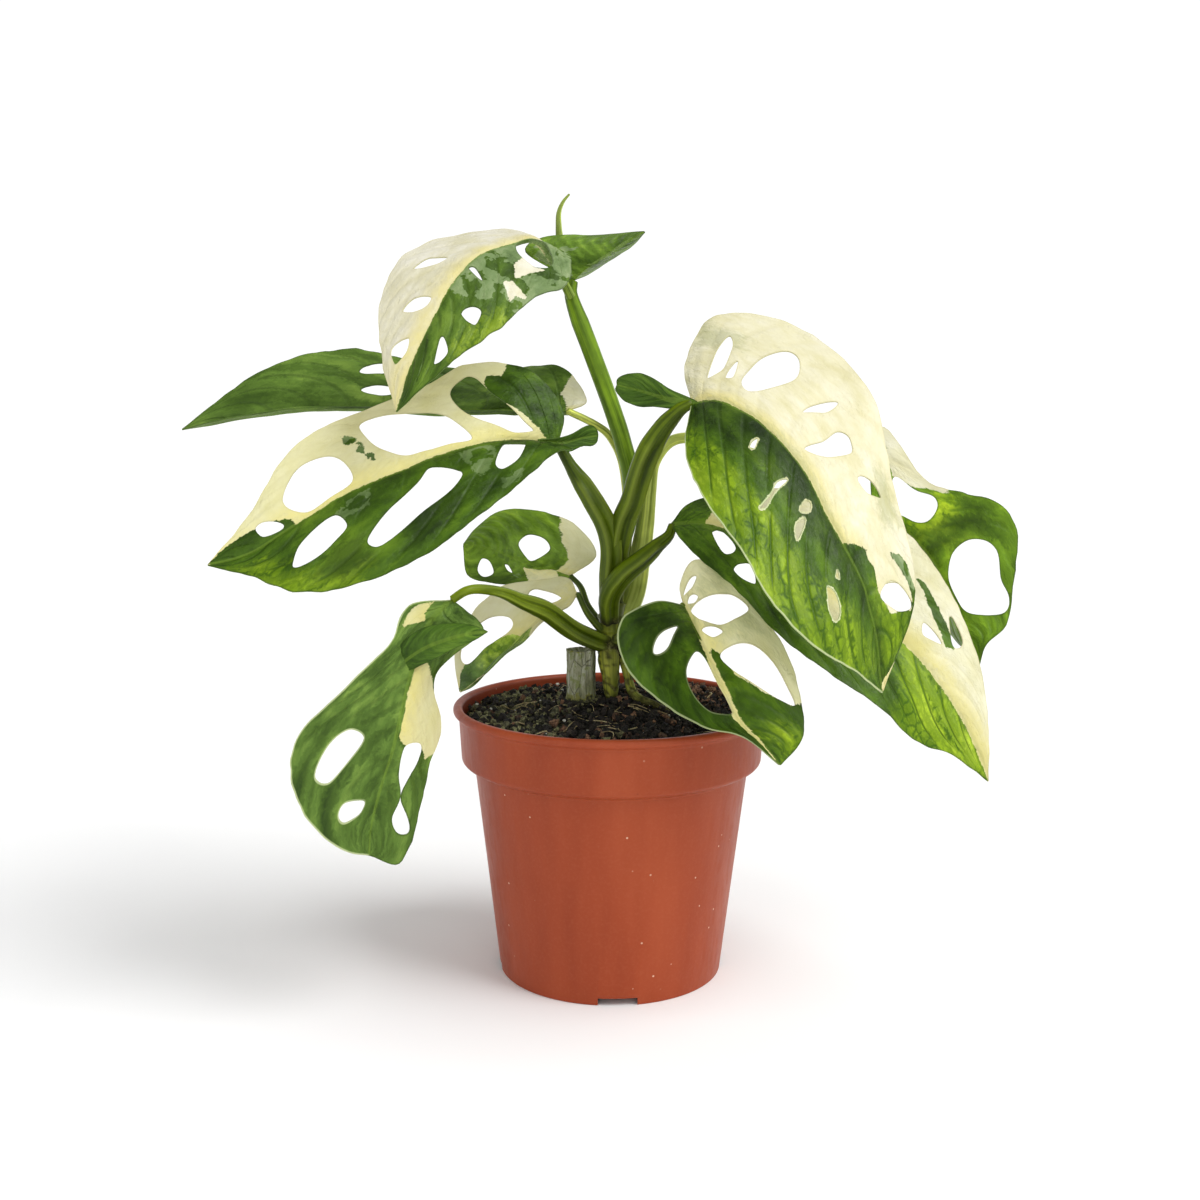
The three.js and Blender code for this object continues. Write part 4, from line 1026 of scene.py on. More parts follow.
def two_faced(sheet, place, normal):
    """Points and faces of the blade: its upper face, its underside with the midrib's ridge, and the
    narrow sides between them."""
    u, faces, count = sheet.u, sheet.faces, len(place)
    ridge = 1.5 * (1 - u) ** 0.7 * hill(sheet.dmid, 0, 0.5 + 0.7 * (1 - u))
    upper = place + normal * THICKNESS / 2
    under = place - normal * (THICKNESS / 2 + ridge)[:, None]
    edges = dict.fromkeys((face[i], face[j]) for face in faces.tolist() for i, j in neighbours(3))
    border = [(a, b) for a, b in edges if (b, a) not in edges]
    sides = [(b, a, a + count, b + count) for a, b in border]
    all_faces = [*faces.tolist(), *(faces[:, ::-1] + count).tolist(), *sides]
    return np.vstack([upper, under]), all_faces


def patch_field(sheet, spec, tone):
    """How far each point is inside the patches of one tone, negative outside."""
    flat, laid_out = sheet.flat, sheet.blade.laid_out
    field = np.full(len(flat), NEVER)
    for patch in spec.get(tone, ()):
        field = np.maximum(field, signed(flat, laid_out(patch)))
    if tone == "cream":
        for slit in spec.get("pale_slits", ()):
            field = np.maximum(field, SLIT_RIM - edge_distance(flat, sheet.loops[1 + slit]))
    for patch in spec.get("un" + tone, ()):
        field = np.minimum(field, -signed(flat, laid_out(patch)))
    return field


def blade_values(sheet, spec, seed):
    """What the leaf material reads at each point."""
    u, v, flat = sheet.u, sheet.v, sheet.flat
    count = len(u)
    values = {key: each(spec.get(key, usual), count) for key, usual in USUAL_LOOK.items()}
    values["flat"] = np.column_stack([flat, each(seed * 37.0, count)])
    values["seed"] = each(seed * 7.3, count)
    values["vein"] = sheet.vein
    values["gap"] = sheet.gap + 30 * smoothstep(-sheet.start, -0.05, 0.0)
    values["dmid"] = sheet.dmid
    values["rim"] = np.min([edge_distance(flat, loop) for loop in sheet.loops], axis=0)
    values["ribwidth"] = (0.25 + 0.75 * (1 - u)) * spec.get("rib", 1.0)
    values["palerim"] = np.clip(v * spec.get("pale_margin", 0) * 2, 0, 1)
    for tone in ("cream", "grey", "lime", "deep_and_shade"):
        values[tone] = patch_field(sheet, spec, tone)
    return values


def blade_parts(spec, seed):
    """Everything about one blade: points of both its faces, its faces and its values."""
    sheet = Sheet(spec)
    points, faces = two_faced(sheet, *formed(sheet, seed))
    values = {key: np.concatenate([data, data]) for key, data in blade_values(sheet, spec, seed).items()}
    values["top"] = np.repeat([1.0, 0.0], len(sheet.u))
    return points, faces, values


def build_leaves(material):
    for number, (name, spec) in enumerate(LEAVES.items()):
        parts = [blade_parts(spec, number + 1.0)]
        if "lobe" in spec:
            parts.append(blade_parts(spec["lobe"], number + 20.0))
        thing = make_object(name + "_blade", *merged(parts), sharp=55)
        slot = "pale_leaf" if name == "leaf_low_left" else "variegated_leaf"
        finish_piece(thing, material, slot, name)


# ---------------------------------------------------------------- stalks

STALKS = {
    "stalk_crown": dict(
        path=[(0, 3, 141), (2, 8, 157), (6, 10, 172), (7, 9, 187), (3.5, 8, 202), (-1.5, 8, 217),
            (-8.5, 8, 235.5), (-15.5, 8, 254), (-15.5, 9, 260.5)],
        radii=(3.2, 3.2, 3.2, 3.3, 3.3, 3.3, 3.3, 3.3, 2.1), tint="62801C", groove=0.0,
    ),
    "petiole_big_right": dict(
        path=[(0, 0, 141), (1, -4, 152.5), (2, -8, 163.5), (4, -11, 174), (7, -14, 181.5), (9.5, -18, 191),
            (12.5, -21, 199.5), (17, -25, 207.5), (20.5, -28, 212), (23.5, -30, 215), (27, -30, 217)],
        radii=(4, 4.2, 4.3, 4.3, 4.3, 4.4, 4.2, 3.3, 1.8), tint="4A5C08", groove=0.5,
    ),
    "petiole_left": dict(
        path=[(-1, -3, 141), (-1, -8, 152), (-0.5, -10, 163), (-2.5, -10, 172), (-7.5, -9, 181),
            (-11, -8, 186.5), (-15, -8, 192.5), (-20, -8, 201)],
        radii=(3.8, 4, 4.1, 4.1, 4.1, 4, 3.6, 2.3, 1.8), tint="4A5C08", groove=0.5,
    ),
    "petiole_long_right": dict(
        path=[(-1, -3, 135.5), (-1, -10, 146), (3.5, -14, 154), (10, -14, 159.5), (15.5, -12, 164),
            (20.5, -9.5, 168), (22, -8, 172)],
        radii=(3.4, 3.9, 3.9, 3.8, 3.3, 2.5, 1.5), tint="4A5C08", groove=0.5,
    ),
    "petiole_far_right": dict(
        path=[(0, 3, 127), (4, 7, 134), (8.5, 10, 144), (10.5, 13, 156), (12.5, 13, 169.5), (14, 13, 185),
            (16, 13.5, 194.5), (23, 14, 202), (35, 15, 202), (57, 17, 196), (81, 19, 186), (100, 20, 178)],
        radii=(3.4, 4.2, 4.2, 3.4, 2.7, 2.1, 1.9, 1.8, 1.6, 1.5, 1.3), tint="B4C26E", groove=0.3,
    ),
    "petiole_hanging": dict(
        path=[(-2, -2, 126), (-9, -7, 129.5), (-15.5, -14, 134), (-24.5, -22, 142), (-33, -28, 146.5),
            (-39, -33, 150), (-46, -38, 152), (-51, -42, 152), (-56, -43, 149)],
        radii=(3.6, 3.7, 3.7, 3.7, 3.5, 2.6, 1.9, 1.7, 1.5), tint="5C6E12", groove=0.6,
    ),
    "petiole_far_left": dict(
        path=[(2, 4, 136), (4, 13, 150), (6, 18, 171), (4, 18, 192), (-1, 14, 203), (-7, 10, 208),
            (-17, 4, 213)],
        radii=(2.4, 1.3), tint="B8C26C", groove=0.3,
    ),
    "petiole_front": dict(
        path=[(1, -3, 128), (10, -15, 130), (18, -25, 137), (25, -34, 146)],
        radii=(2.2, 1.3), tint="6A7C34", groove=0.3,
    ),
    "petiole_curled": dict(
        path=[(-2, 3, 130), (-9, 11, 138), (-12, 16, 145), (-16, 19, 149)],
        radii=(1.8, 1), tint="4E5F2A", groove=0.3,
    ),
    "petiole_low_left": dict(
        path=[(-2, -1, 129), (-9, -5, 138), (-13, -6, 146)],
        radii=(1.6, 1), tint="4E5F2A", groove=0.2,
    ),
    "petiole_crown": dict(
        path=[(-16, 6, 255), (-19, 2, 261), (-22, 2, 267)],
        radii=(1.8, 1.3), tint="7C9440", groove=0.0,
    ),
    "spear": dict(
        path=[(-16, 9, 255), (-19, 17, 268), (-20.5, 22, 277), (-21, 26, 282), (-21, 27, 287),
            (-19.5, 27, 291), (-17, 27, 294)],
        radii=(1.5, 1.5, 1.5, 1.4, 1, 0.4), tint="8A9C50", groove=0.0,
    ),
}
JOINT = 0.82  # share along a petiole where its wings end and the smooth joint begins


def taper(radii):
    """The radius at a share of a path, from radii evenly spaced along it."""
    marks = np.linspace(0, 1, len(radii))
    return lambda share: float(np.interp(share, marks, radii))


def carried_frames(centres):
    """Side and up directions along a path, turned as little as possible, starting level."""
    tangents = unit(np.gradient(centres, axis=0))
    side = unit(np.cross(tangents[0], [0.3, -1.0, 0.2]))
    sides, ups = [], []
    for t in tangents:
        side = unit(side - t * (side @ t))
        sides.append(side)
        ups.append(np.cross(side, t))
    return sides, ups, tangents


def tube(path, radius_at, step, around, shape=None):
    """A closed tube. radius_at takes a share of the path, and shape(share, angles) scales the ring
    there. Gives its points, its faces, each point's turn round it (0 to 1) and run along it, and its
    length."""
    centres, length = spaced(path, step)
    sides, ups, tangents = carried_frames(centres)
    shares = np.linspace(0, 1, len(centres))
    angles = np.linspace(0, 2 * np.pi, around, endpoint=False)
    rings = []
    for centre, side, up, share in zip(centres, sides, ups, shares):
        scale = radius_at(share) * (shape(share, angles) if shape else np.ones(around))
        across = np.outer(np.cos(angles) * scale, side)
        rings.append(centre + across + np.outer(np.sin(angles) * scale, up))
    foot = centres[0] - tangents[0] * radius_at(0) * 0.3
    tip = centres[-1] + tangents[-1] * radius_at(1) * 0.5
    faces = bands(len(rings), around)
    last = len(rings) * around
    for i, j in neighbours(around):
        faces += [(j, i, last), (last - around + i, last - around + j, last + 1)]
    turn = np.append(np.tile(angles / (2 * np.pi), len(rings)), [0, 0])
    run = np.append(np.repeat(shares * length, around), [0, length])
    return np.vstack([*rings, foot, tip]), faces, turn, run, length


def skin_values(turn, run, old, tint, seed, groove=0.0):
    """What the stalk material reads at each point."""
    count = len(turn)
    return {
        "turn": np.abs(turn - 0.5) * 2, "run": run, "groove": groove + np.zeros(count), "old": old,
        "tint": each(rgb(tint)[:3], count), "seed": each(seed, count),
    }


def winged(depth):
    """The outline of a leaf stalk: a groove along its top, between two wings, down to the joint."""

    def shape(share, angles):
        fade = depth * float(1 - smoothstep(share, JOINT - 0.08, JOINT))
        away = np.abs((angles - np.pi / 2 + np.pi) % (2 * np.pi) - np.pi)
        return 1 + fade * (0.3 * hill(away, 0.62, 0.2) - 0.5 * hill(away, 0, 0.3))

    return shape


def build_stalks(material):
    for number, (name, spec) in enumerate(STALKS.items()):
        depth = spec["groove"]
        verts, faces, turn, run, length = tube(spec["path"], taper(spec["radii"]), 1.4, 28, winged(depth))
        away = np.abs((turn - 0.25 + 0.5) % 1 - 0.5)
        fade = 1 - smoothstep(run / length, JOINT - 0.08, JOINT)
        groove = (depth > 0) * fade * hill(away, 0.1, 0.03)
        rooted = name not in ("spear", "petiole_crown")
        old = 0.9 * (1 - smoothstep(run, 0.5, 5.5)) * rooted
        values = skin_values(turn, run, old, spec["tint"], number * 4.7, groove)
        thing = make_object(name + "_skin", uneven(verts, 5, number, 0.12), faces, values, sharp=60)
        finish_piece(thing, material, "green_stalk", name)


STEM_PATH = [(0.3, 0.2, 119), (0, 0, 126), (-0.3, 0.3, 133), (0, 0, 139), (0.6, 0.6, 145)]
STEM_SCARS = (0.14, 0.26, 0.47, 0.66, 0.86)  # shares along the stem of its ring scars
STEM_TINT = "66702A"
ROOT_TINT = "868C3C"


def stem_radius(share):
    """Tapering, with a ridge and a furrow at each ring scar, and drawn in at the top."""
    ridges = sum(hill(share, scar, 0.03) for scar in STEM_SCARS)
    furrows = sum(hill(share, scar + 0.05, 0.03) for scar in STEM_SCARS)
    bulge = 0.14 * ridges - 0.06 * furrows
    return (5.1 - 0.6 * share) * (1 + bulge) * (1 - 0.35 * float(smoothstep(share, 0.85, 1)))


def build_stem(material):
    """The short main stem: stacked internodes with ring scars, dark and split where it is oldest."""
    verts, faces, turn, run, length = tube(STEM_PATH, stem_radius, 0.6, 40)
    out = unit(verts * [1, 1, 0])
    old = 1 - smoothstep(run / length, 0.22, 0.42) * 0.92
    verts = verts + out * (wobble(verts, 3.0, 2) * (0.15 + 0.5 * old))[:, None]
    thing = make_object("stem_skin", verts, faces, skin_values(turn, run, old, STEM_TINT, 61.0), sharp=60)
    finish_piece(thing, material, "green_stalk", "stem")


ROOTS = {
    "root_left": dict(
        path=[(-1.5, -2, 126), (-1, -4, 119), (-0.5, -5, 113), (0, -5, 104)],
        radii=(3.2, 4, 3.8, 2.8, 1.4),
    ),
    "root_right": dict(
        path=[(3, 0, 125), (5.5, -4, 117), (7, -6, 110.5), (10, -8, 106.6), (16, -10, 104.6),
            (21, -11, 102.4)],
        radii=(2, 2, 1.6, 1.1),
    ),
    "root_back": dict(path=[(0, 3, 126), (0, 6, 115), (0, 8, 104)], radii=(3.2, 2.6)),
}


def build_roots(material):
    """Thick roots, old and dark near the stem and near the soil, and blotched between."""
    for number, (name, spec) in enumerate(ROOTS.items()):
        plain = taper(spec["radii"])

        def radius_at(share, plain=plain, number=number):
            return plain(share) * (1 + 0.1 * math.sin(9 * share + number))

        verts, faces, turn, run, length = tube(spec["path"], radius_at, 0.9, 22)
        verts = uneven(verts, 3.5, 30 + number, 0.4)
        low = 1 - smoothstep(verts[:, 2], 105, 110)
        blotches = 0.8 * smoothstep(wobble(verts, 2.2, 40 + number), 0.0, 0.2)
        old = np.clip(np.maximum(1 - smoothstep(run / length, 0.05, 0.2), 0.9 * low), 0.1, 1)
        if name == "root_back":
            old = each(0.95, len(verts))
        values = skin_values(turn, run, np.maximum(old, blotches), ROOT_TINT, 70.0 + number)
        thing = make_object(name + "_skin", verts, faces, values, sharp=60)
        finish_piece(thing, material, "old_stem", name)


STUB_CENTRE = (-11.6, -4)
STUB_TOP = 124.5
STUB_RADIUS = 5.3
STUB_FOOT = 103
STUB_SIDES = 48
STUB_CUT = ((4.5, 0.1), (3.7, 0.8), (2.3, 1.2), (1.0, 1.3))  # radii in the cut, and how deep they lie


def stub_ring(radius, height, rough):
    """One ring of the stump, with its ribs, and rough mm of raggedness in height."""
    ring = []
    for i in range(STUB_SIDES):
        a = 2 * math.pi * i / STUB_SIDES
        flutes = 0.16 * math.sin(7 * a + 0.4) + 0.1 * math.sin(13 * a)
        r = radius + flutes * radius / STUB_RADIUS
        x, y = r * math.cos(a), r * math.sin(a)
        lift = rough * noise.noise(Vector((x / 2.8, y / 2.8, 4.0)))
        ring.append((STUB_CENTRE[0] + x, STUB_CENTRE[1] + y, height + lift))
    return ring


def build_stub(material):
    """The cut stump: straight ribbed sides, a ragged top edge and a sunken, dried cut."""
    rings = []
    for height in np.linspace(STUB_FOOT, STUB_TOP, 36):
        foot = 0.6 * hill(height, STUB_FOOT + 1.5, 2.2)
        near_top = height > STUB_TOP - 0.9
        rings.append(stub_ring(STUB_RADIUS + foot + 0.15 * near_top, height, 0.7 * near_top))
    rings += [stub_ring(radius, STUB_TOP - drop, 0.5) for radius, drop in STUB_CUT]
    verts = np.vstack(rings)
    top = range(len(verts) - STUB_SIDES, len(verts))
    faces = [*bands(len(rings), STUB_SIDES), top, range(STUB_SIDES - 1, -1, -1)]
    turn = np.tile(np.abs(np.arange(STUB_SIDES) / STUB_SIDES - 0.5) * 2, len(rings))
    verts[:, :2] += wobble(verts, 4, 44)[:, None] * 0.2
    height = verts[:, 2]
    dirt = np.clip(1 - (height - STUB_FOOT - 1) / 8, 0, 1)
    dirt += 0.5 * smoothstep(height, STUB_TOP - 1.6, STUB_TOP + 0.2)
    values = {"turn": turn, "run": height - STUB_FOOT, "dirt": dirt, "seed": each(80.0, len(verts))}
    thing = make_object("cut_stub_skin", verts, faces, values, sharp=50)
    finish_piece(thing, material, "old_stem", "cut_stub")


# ---------------------------------------------------------------- pot

POT_SIDES = 160

# Radius and height, then how far a corner is cut back to round it.
POT_PROFILE = [
    (0, 0, 0), (20, 0, 0.8), (21.5, 3, 0.8), (40.5, 3, 0.5), (40.5, 0, 0.4), (42.5, 0, 0.5),
    (47.2, 40, 0), (52, 79.9, 0.9), (55.9, 81.5, 0.7), (56.9, 82.6, 0.9), (57.4, 91, 0),
    (57.9, 99.2, 1.0), (60, 100.5, 0.8), (60, 102.1, 0.8), (59.1, 103, 0.7), (57.3, 103, 0.7),
    (56.4, 101.9, 0.7), (55.9, 92, 0), (55.4, 83.9, 1.2), (50.7, 81.5, 1.2), (46, 42, 0),
    (41.5, 4.5, 0.8), (21.5, 4.5, 0.8), (20, 1.5, 0.8), (0, 1.5, 0),
]
INNER_HEIGHTS = [4.4, 81.5, 83.9, 102.4]
INNER_RADII = [41.6, 50.8, 55.5, 56.5]  # of the inner wall, at those heights

NOTCH = ((-7.25, -46, -3), (7.25, -39, 2.9))  # opposite corners of the cutter of a foot notch
NOTCH_TURN = 3.5  # degrees
DRAIN_HOLES = 8
DRAIN_CIRCLE = 31
DRAIN_PROFILE = [(0, 1), (3, 1), (3, 7), (0, 7)]


def soft_corners(profile):
    """A profile of (r, z, size) with each corner cut back by its size and rounded."""
    points = [np.array(point[:2], float) for point in profile]
    out = []
    for k, (here, point) in enumerate(zip(points, profile)):
        size = point[2]
        if size == 0:
            out.append(here)
            continue
        before, after = points[k - 1], points[k + 1]
        a = here + unit(before - here) * min(size, np.linalg.norm(before - here) * 0.45)
        b = here + unit(after - here) * min(size, np.linalg.norm(after - here) * 0.45)
        out += [(1 - t) ** 2 * a + 2 * t * (1 - t) * here + t * t * b for t in (0, 0.25, 0.5, 0.75, 1)]
    return np.array(out)


def lathe(profile, sides):
    """A profile of (r, z) turned round the z axis, with single points where it meets the axis."""
    verts, faces, starts = [], [], []
    on_axis = [r < 1e-6 for r, z in profile]
    for (r, z), single in zip(profile, on_axis):
        starts.append(len(verts))
        verts.extend([(0, 0, z)] if single else circle(r, z, sides))
    for k, (low, high) in enumerate(zip(starts, starts[1:])):
        if on_axis[k]:
            faces += [(low, high + j, high + i) for i, j in neighbours(sides)]
        elif on_axis[k + 1]:
            faces += [(low + i, low + j, high) for i, j in neighbours(sides)]
        else:
            faces += bands(2, sides, low)
    return verts, faces


def cut(thing, cutters):
    """Cut the cutters out of a thing, and remove them."""
    for cutter in cutters:
        step = thing.modifiers.new("cut", "BOOLEAN")
        step.operation = "DIFFERENCE"
        step.solver = "EXACT"
        step.object = cutter
    bpy.context.view_layer.update()
    evaluated = thing.evaluated_get(bpy.context.evaluated_depsgraph_get())
    baked = bpy.data.meshes.new_from_object(evaluated)
    thing.modifiers.clear()
    old = thing.data
    thing.data = baked
    bpy.data.meshes.remove(old)
    for cutter in cutters:
        shape = cutter.data
        bpy.data.objects.remove(cutter)
        bpy.data.meshes.remove(shape)


def block(low, high, turn):
    """A cutter box, turned about the z axis."""
    corners = np.array(list(itertools.product(*zip(low, high))))
    faces = [(0, 1, 3, 2), (4, 6, 7, 5), (0, 4, 5, 1), (2, 3, 7, 6), (0, 2, 6, 4), (1, 5, 7, 3)]
    return make_object("cutter", corners @ np.array(Matrix.Rotation(-turn, 3, "Z")), faces)


def drain_cutter(number):
    a = 2 * math.pi * (number + 0.5) / DRAIN_HOLES
    verts, faces = lathe(DRAIN_PROFILE, 28)
    return make_object("cutter", verts + DRAIN_CIRCLE * np.array([math.sin(a), -math.cos(a), 0]), faces)


def build_pot(material):
    """The pot, with its foot notches and drain holes cut out. Its inside is marked for painted shade."""
    thing = make_object("pot_shell", *lathe(soft_corners(POT_PROFILE), POT_SIDES))
    cutters = [block(*NOTCH, math.radians(NOTCH_TURN) + k * math.pi / 2) for k in range(4)]
    cutters += [drain_cutter(number) for number in range(DRAIN_HOLES)]
    cut(thing, cutters)
    shade_smooth(thing.data, 35)
    co = np.empty(len(thing.data.vertices) * 3)
    thing.data.vertices.foreach_get("co", co)
    x, y, z = co.reshape(-1, 3).T / MM
    # the inner wall, which the pot material darkens with painted shade
    inner_shade = (np.hypot(x, y) < np.interp(z, INNER_HEIGHTS, INNER_RADII) + 0.25) & (z > 1.2)
    set_values(thing.data, {"inner_shade": inner_shade})
    finish_piece(thing, material, "pot_plastic", "pot")


# ---------------------------------------------------------------- soil

SOIL_RADII = [0, 12, 26, 48, 55.2]
SOIL_HEIGHTS = [104.6, 104.4, 101.1, 99.0, 98.2]
SOIL_EDGE = 55.1
SOIL_LIMIT = 55.3  # no crumb reaches further out than this
SOIL_SIDES = 220
SOIL_RINGS = 62
SOIL_WALL = ((SOIL_EDGE, 84.2), (50.4, 81.5), (41.2, 4.8))  # radii and heights down its sides


def ground(x, y):
    """Height of the soil's surface, before its crumbs, with a heap against the right back wall."""
    heap = 2.6 * np.exp(-((x - 36) ** 2 + (y - 30) ** 2) / 220)
    return np.interp(np.hypot(x, y), SOIL_RADII, SOIL_HEIGHTS) + heap


def build_soil(material):
    """The ball of soil that fills the pot, with a lumpy top."""
    radii = SOIL_EDGE * (np.arange(1, SOIL_RINGS + 1) / SOIL_RINGS) ** 0.93
    top = np.vstack([[(0, 0, 0)], *(circle(r, 0, SOIL_SIDES) for r in radii)])
    top[:, 2] = ground(top[:, 0], top[:, 1])
    lumps = 1.5 * wobble(top, 7, 1) + 1.6 * np.abs(wobble(top, 3.2, 2)) + 0.9 * wobble(top, 1.5, 3)
    top[:, 2] += lumps - 0.3
    verts = np.vstack([top, *(circle(r, z, SOIL_SIDES) for r, z in SOIL_WALL)])
    faces = [(0, 1 + i, 1 + j) for i, j in neighbours(SOIL_SIDES)]
    faces += bands(SOIL_RINGS + len(SOIL_WALL), SOIL_SIDES, 1, turned=True)
    faces.append(range(len(verts) - 1, len(verts) - 1 - SOIL_SIDES, -1))
    moss = smoothstep(-verts[:, 0], 5, 30) * smoothstep(verts[:, 2], 90, 94)
    thing = make_object("soil_ball", verts, faces, {"moss": moss}, sharp=80)
    finish_piece(thing, material, "potting_soil", "soil")


DARK, BARK, MOSS, PERLITE = 0.0, 1.0, 2.0, 3.0
CRUMB_COUNT = 2500
CRUMB_REACH = 54.2
FOOT_CRUMBS = 110  # mossy ones against the stump's foot
CRUMB_SIDES = 6
CRUMB_LEVELS = (-1.2, -0.4, 0.4, 1.2)  # latitudes of a crumb's rings


def crumb_kind(x, y):
    """The sort and size of a crumb. The fraction of its number is its lightness. There is more moss
    to the left, and bark in the heap at the right back."""
    size = 0.45 + 1.5 * rng.random() ** 2.0
    light = 0.4 * rng.random()
    if rng.random() < 0.03:
        return PERLITE, 0.35 + 0.5 * rng.random()
    if rng.random() < 0.9 * math.exp(-((x - 38) ** 2 + (y - 26) ** 2) / 450):
        return BARK + light, size
    if rng.random() < 0.5 * float(smoothstep(-x - 0.2 * y, 0, 36)):
        return MOSS + light, size
    return (BARK if rng.random() < 0.12 else DARK) + light, size


def loose_crumb(a):
    """Place, sort and size of a crumb anywhere on the soil, or None in the stump or the stem."""
    r = CRUMB_REACH * math.sqrt(rng.random())
    x, y = r * math.cos(a), r * math.sin(a)
    kind, size = crumb_kind(x, y)
    from_stub = math.hypot(x - STUB_CENTRE[0], y - STUB_CENTRE[1])
    if from_stub < STUB_RADIUS + 0.4 or math.hypot(x, y) < 3:
        return None
    return x, y, kind, size


def foot_crumb(a):
    """Place, sort and size of a crumb against the stump's foot."""
    r = STUB_RADIUS + 0.4 + 1.8 * rng.random()
    x, y = STUB_CENTRE[0] + r * math.cos(a), STUB_CENTRE[1] + r * math.sin(a)
    kind = (MOSS if rng.random() < 0.6 else DARK) + 0.4 * rng.random()
    return x, y, kind, 0.4 + 0.5 * rng.random()


def build_crumbs(material):
    """Small rough pebbles lying on the soil."""
    ball = np.vstack([circle(math.cos(b), math.sin(b), CRUMB_SIDES) for b in CRUMB_LEVELS])
    sides = [range(CRUMB_SIDES - 1, -1, -1), range(len(ball) - CRUMB_SIDES, len(ball))]
    sides += bands(len(CRUMB_LEVELS), CRUMB_SIDES)
    parts = []
    for number in range(CRUMB_COUNT + FOOT_CRUMBS):
        a = rng.random() * 2 * math.pi
        crumb = loose_crumb(a) if number < CRUMB_COUNT else foot_crumb(a)
        if crumb is None:
            continue
        x, y, kind, size = crumb
        turn = Matrix.Rotation(rng.random() * 6.3, 3, Vector(rng.normal(size=3)))
        squash = size * np.array([1, 0.55 + 0.5 * rng.random(), 0.45 + 0.4 * rng.random()])
        shape = ball * (1 + 0.28 * rng.normal(size=(len(ball), 1))) * squash
        height = float(ground(x, y)) + 0.7 + 1.0 * rng.random()
        spot = shape @ np.array(turn) + (x, y, height)
        if np.hypot(spot[:, 0], spot[:, 1]).max() <= SOIL_LIMIT:
            parts.append((spot, sides, {"kind": each(kind, len(ball))}))
    thing = make_object("soil_crumbs", *merged(parts))
    finish_piece(thing, material, "potting_soil")


THREADS = 44

# Loose root ends that arch out of the soil: centre x and y, radius, and the way they face.
ROOT_LOOPS = [(-25, -42, 3.4, 0.2), (-21, -44, 2.6, 0.9), (-2, -43, 3.0, 2.6)]


def wandering(number):
    """The path of a thin root over the soil."""
    a, r = rng.random() * 2 * math.pi, 9 + 41 * rng.random()
    x, y = r * math.cos(a), r * math.sin(a)
    heading = rng.random() * 2 * math.pi
    path = []
    for k in range(5 + int(rng.random() * 4)):
        if math.hypot(x, y) > 53:
            break
        path.append((x, y, float(ground(x, y)) + 1.2 + 0.9 * math.sin(k * 1.3 + number)))
        heading += rng.normal() * 0.8
        x, y = x + 3.2 * math.cos(heading), y + 3.2 * math.sin(heading)
    return path


def arching(x, y, r, way):
    """The path of a root end that leaves the soil and goes back into it."""
    base = float(ground(x, y)) + 0.6
    path = []
    for k in range(7):
        a = math.pi * k / 6
        side, lean = r * math.cos(a), 0.5 * r * math.sin(2.3 * a)
        across = side * math.cos(way) - lean * math.sin(way)
        along = side * math.sin(way) + lean * math.cos(way)
        path.append((x + across, y + along, base + 0.7 * r * math.sin(a)))
    return path


def build_threads(material):
    """Thin roots wandering over the soil, and some that arch out of it."""
    tubes = []
    for number in range(THREADS):
        path = wandering(number)
        if len(path) >= 4:
            thick = 0.14 + 0.2 * rng.random()
            tubes.append(tube(path, taper((thick, thick * 0.4)), 1.0, 6))
    tubes += [tube(arching(*loop), taper((0.24, 0.16)), 0.8, 6) for loop in ROOT_LOOPS]
    verts, faces, _ = merged([(verts, faces, {}) for verts, faces, *_ in tubes])
    thing = make_object("root_threads", verts, faces, sharp=180)
    finish_piece(thing, material, "old_stem")


# ---------------------------------------------------------------- camera and light

CAMERA_LENS = 45.42
CAMERA_PLACE = (-0.0046, -0.5635, 0.2284)
CAMERA_DIP = 8.66  # degrees below level
CAMERA_ROLL = 0.29  # degrees
FLOOR_HALF = 12000
WORLD_WHITE = (1, 1, 1, 1)

# name, strength, spread in degrees, and the way to it
SUNS = [("key", 2.4, 38, (0.62, -0.28, 0.78)), ("fill", 0.7, 90, (-0.25, -0.95, 0.2))]


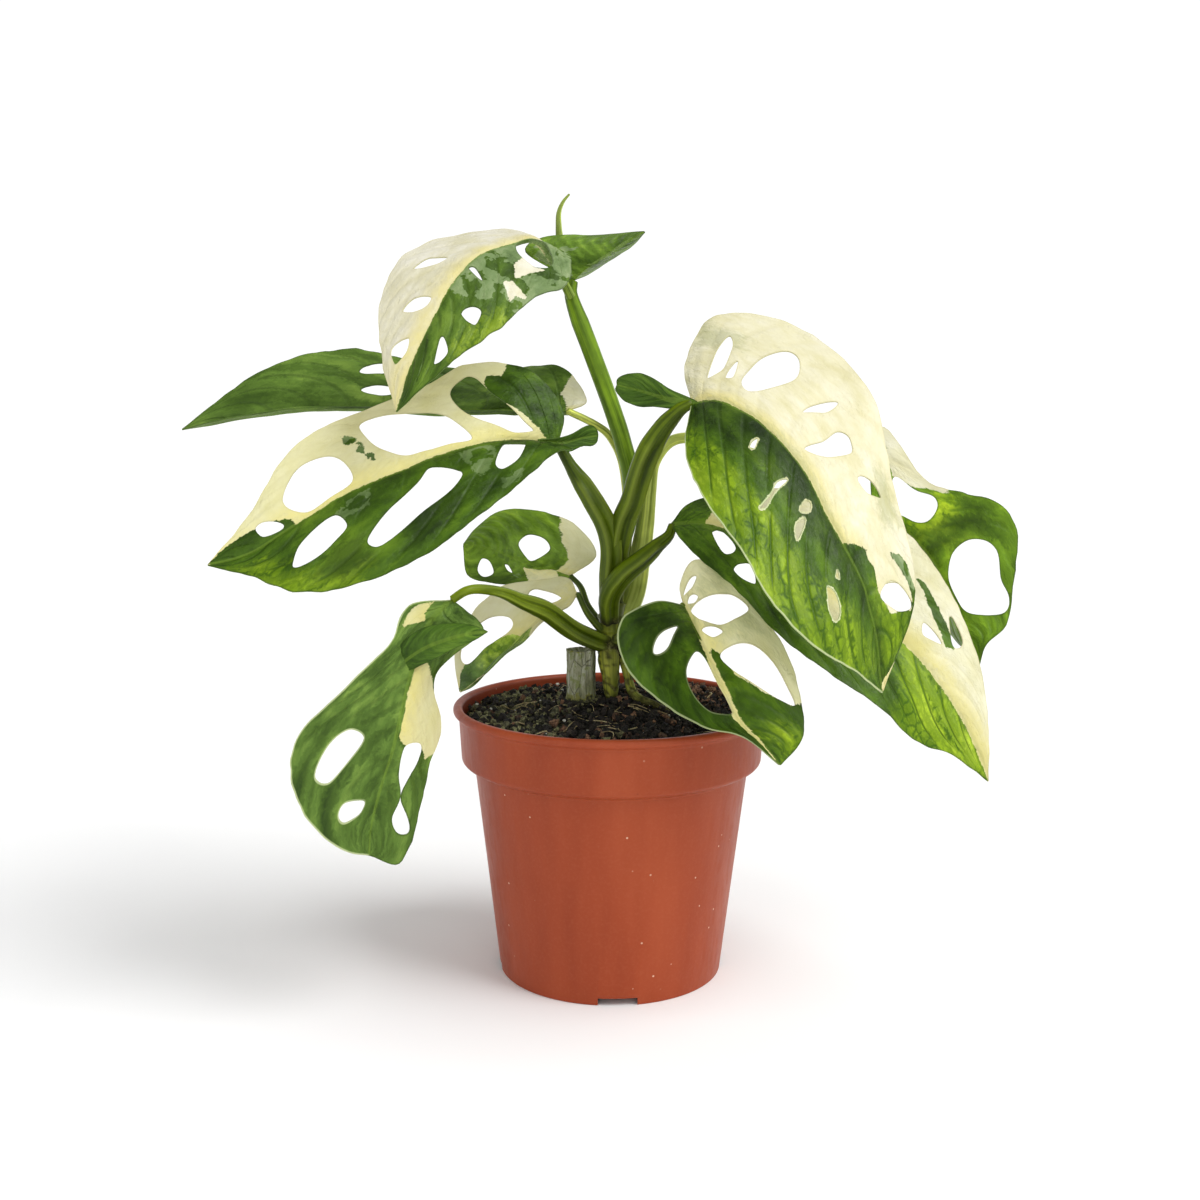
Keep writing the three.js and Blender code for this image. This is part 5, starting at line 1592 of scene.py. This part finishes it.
def build_camera():
    camera = bpy.data.cameras.new("camera")
    camera.lens = CAMERA_LENS
    camera.sensor_width = 36
    thing = bpy.data.objects.new("camera", camera)
    bpy.context.scene.collection.objects.link(thing)
    tilt = Matrix.Rotation(math.radians(90 - CAMERA_DIP), 4, "X")
    roll = Matrix.Rotation(math.radians(CAMERA_ROLL), 4, "Z")
    thing.matrix_world = Matrix.Translation(CAMERA_PLACE) @ tilt @ roll
    bpy.context.scene.camera = thing


def build_floor():
    corners = [(x * FLOOR_HALF, y * FLOOR_HALF, 0) for x, y in ((-1, -1), (1, -1), (1, 1), (-1, 1))]
    floor = make_object("floor", corners, [(0, 1, 2, 3)])
    floor.data.materials.append(floor_material())


def build_suns():
    for name, energy, spread, source in SUNS:
        sun = bpy.data.lights.new(name, "SUN")
        sun.energy = energy
        sun.angle = math.radians(spread)
        light = bpy.data.objects.new(name, sun)
        bpy.context.scene.collection.objects.link(light)
        light.rotation_euler = Vector(source).to_track_quat("Z", "Y").to_euler()


def build_room():
    """A soft white room: bright low down, dimmer overhead and high up at both sides."""
    world = bpy.data.worlds.new("studio")
    bpy.context.scene.world = world
    g = Graph(world)
    way = g.node("TexCoord", "Generated")
    side, height = (g.node("SeparateXYZ", axis, {0: way}) for axis in "XZ")
    overhead = g.ease(height, 0.28, 0.55, 1.06, 0.42, "LINEAR")
    raised = side * side * g.ease(height, 0.15, 0.35, 0.0, 1.0, "LINEAR")
    sideways = g.ease(raised, 0.3, 0.9, 1.0, 0.62, "LINEAR")
    background = g.tree.nodes["Background"]
    g.put(background.inputs["Strength"], overhead * sideways)
    g.put(background.inputs["Color"], WORLD_WHITE)
    bpy.context.scene.view_settings.view_transform = "Standard"


build_camera()
build_floor()
build_suns()
build_room()
stalk_skin, wood_skin = stalk_material(), wood_material()
build_pot(pot_material())
build_soil(soil_material())
build_crumbs(crumb_material())
build_threads(thread_material())
build_stem(stalk_skin)
build_roots(stalk_skin)
build_stub(wood_skin)
build_stalks(stalk_skin)
build_leaves(leaf_material())

bpy.context.view_layer.update()
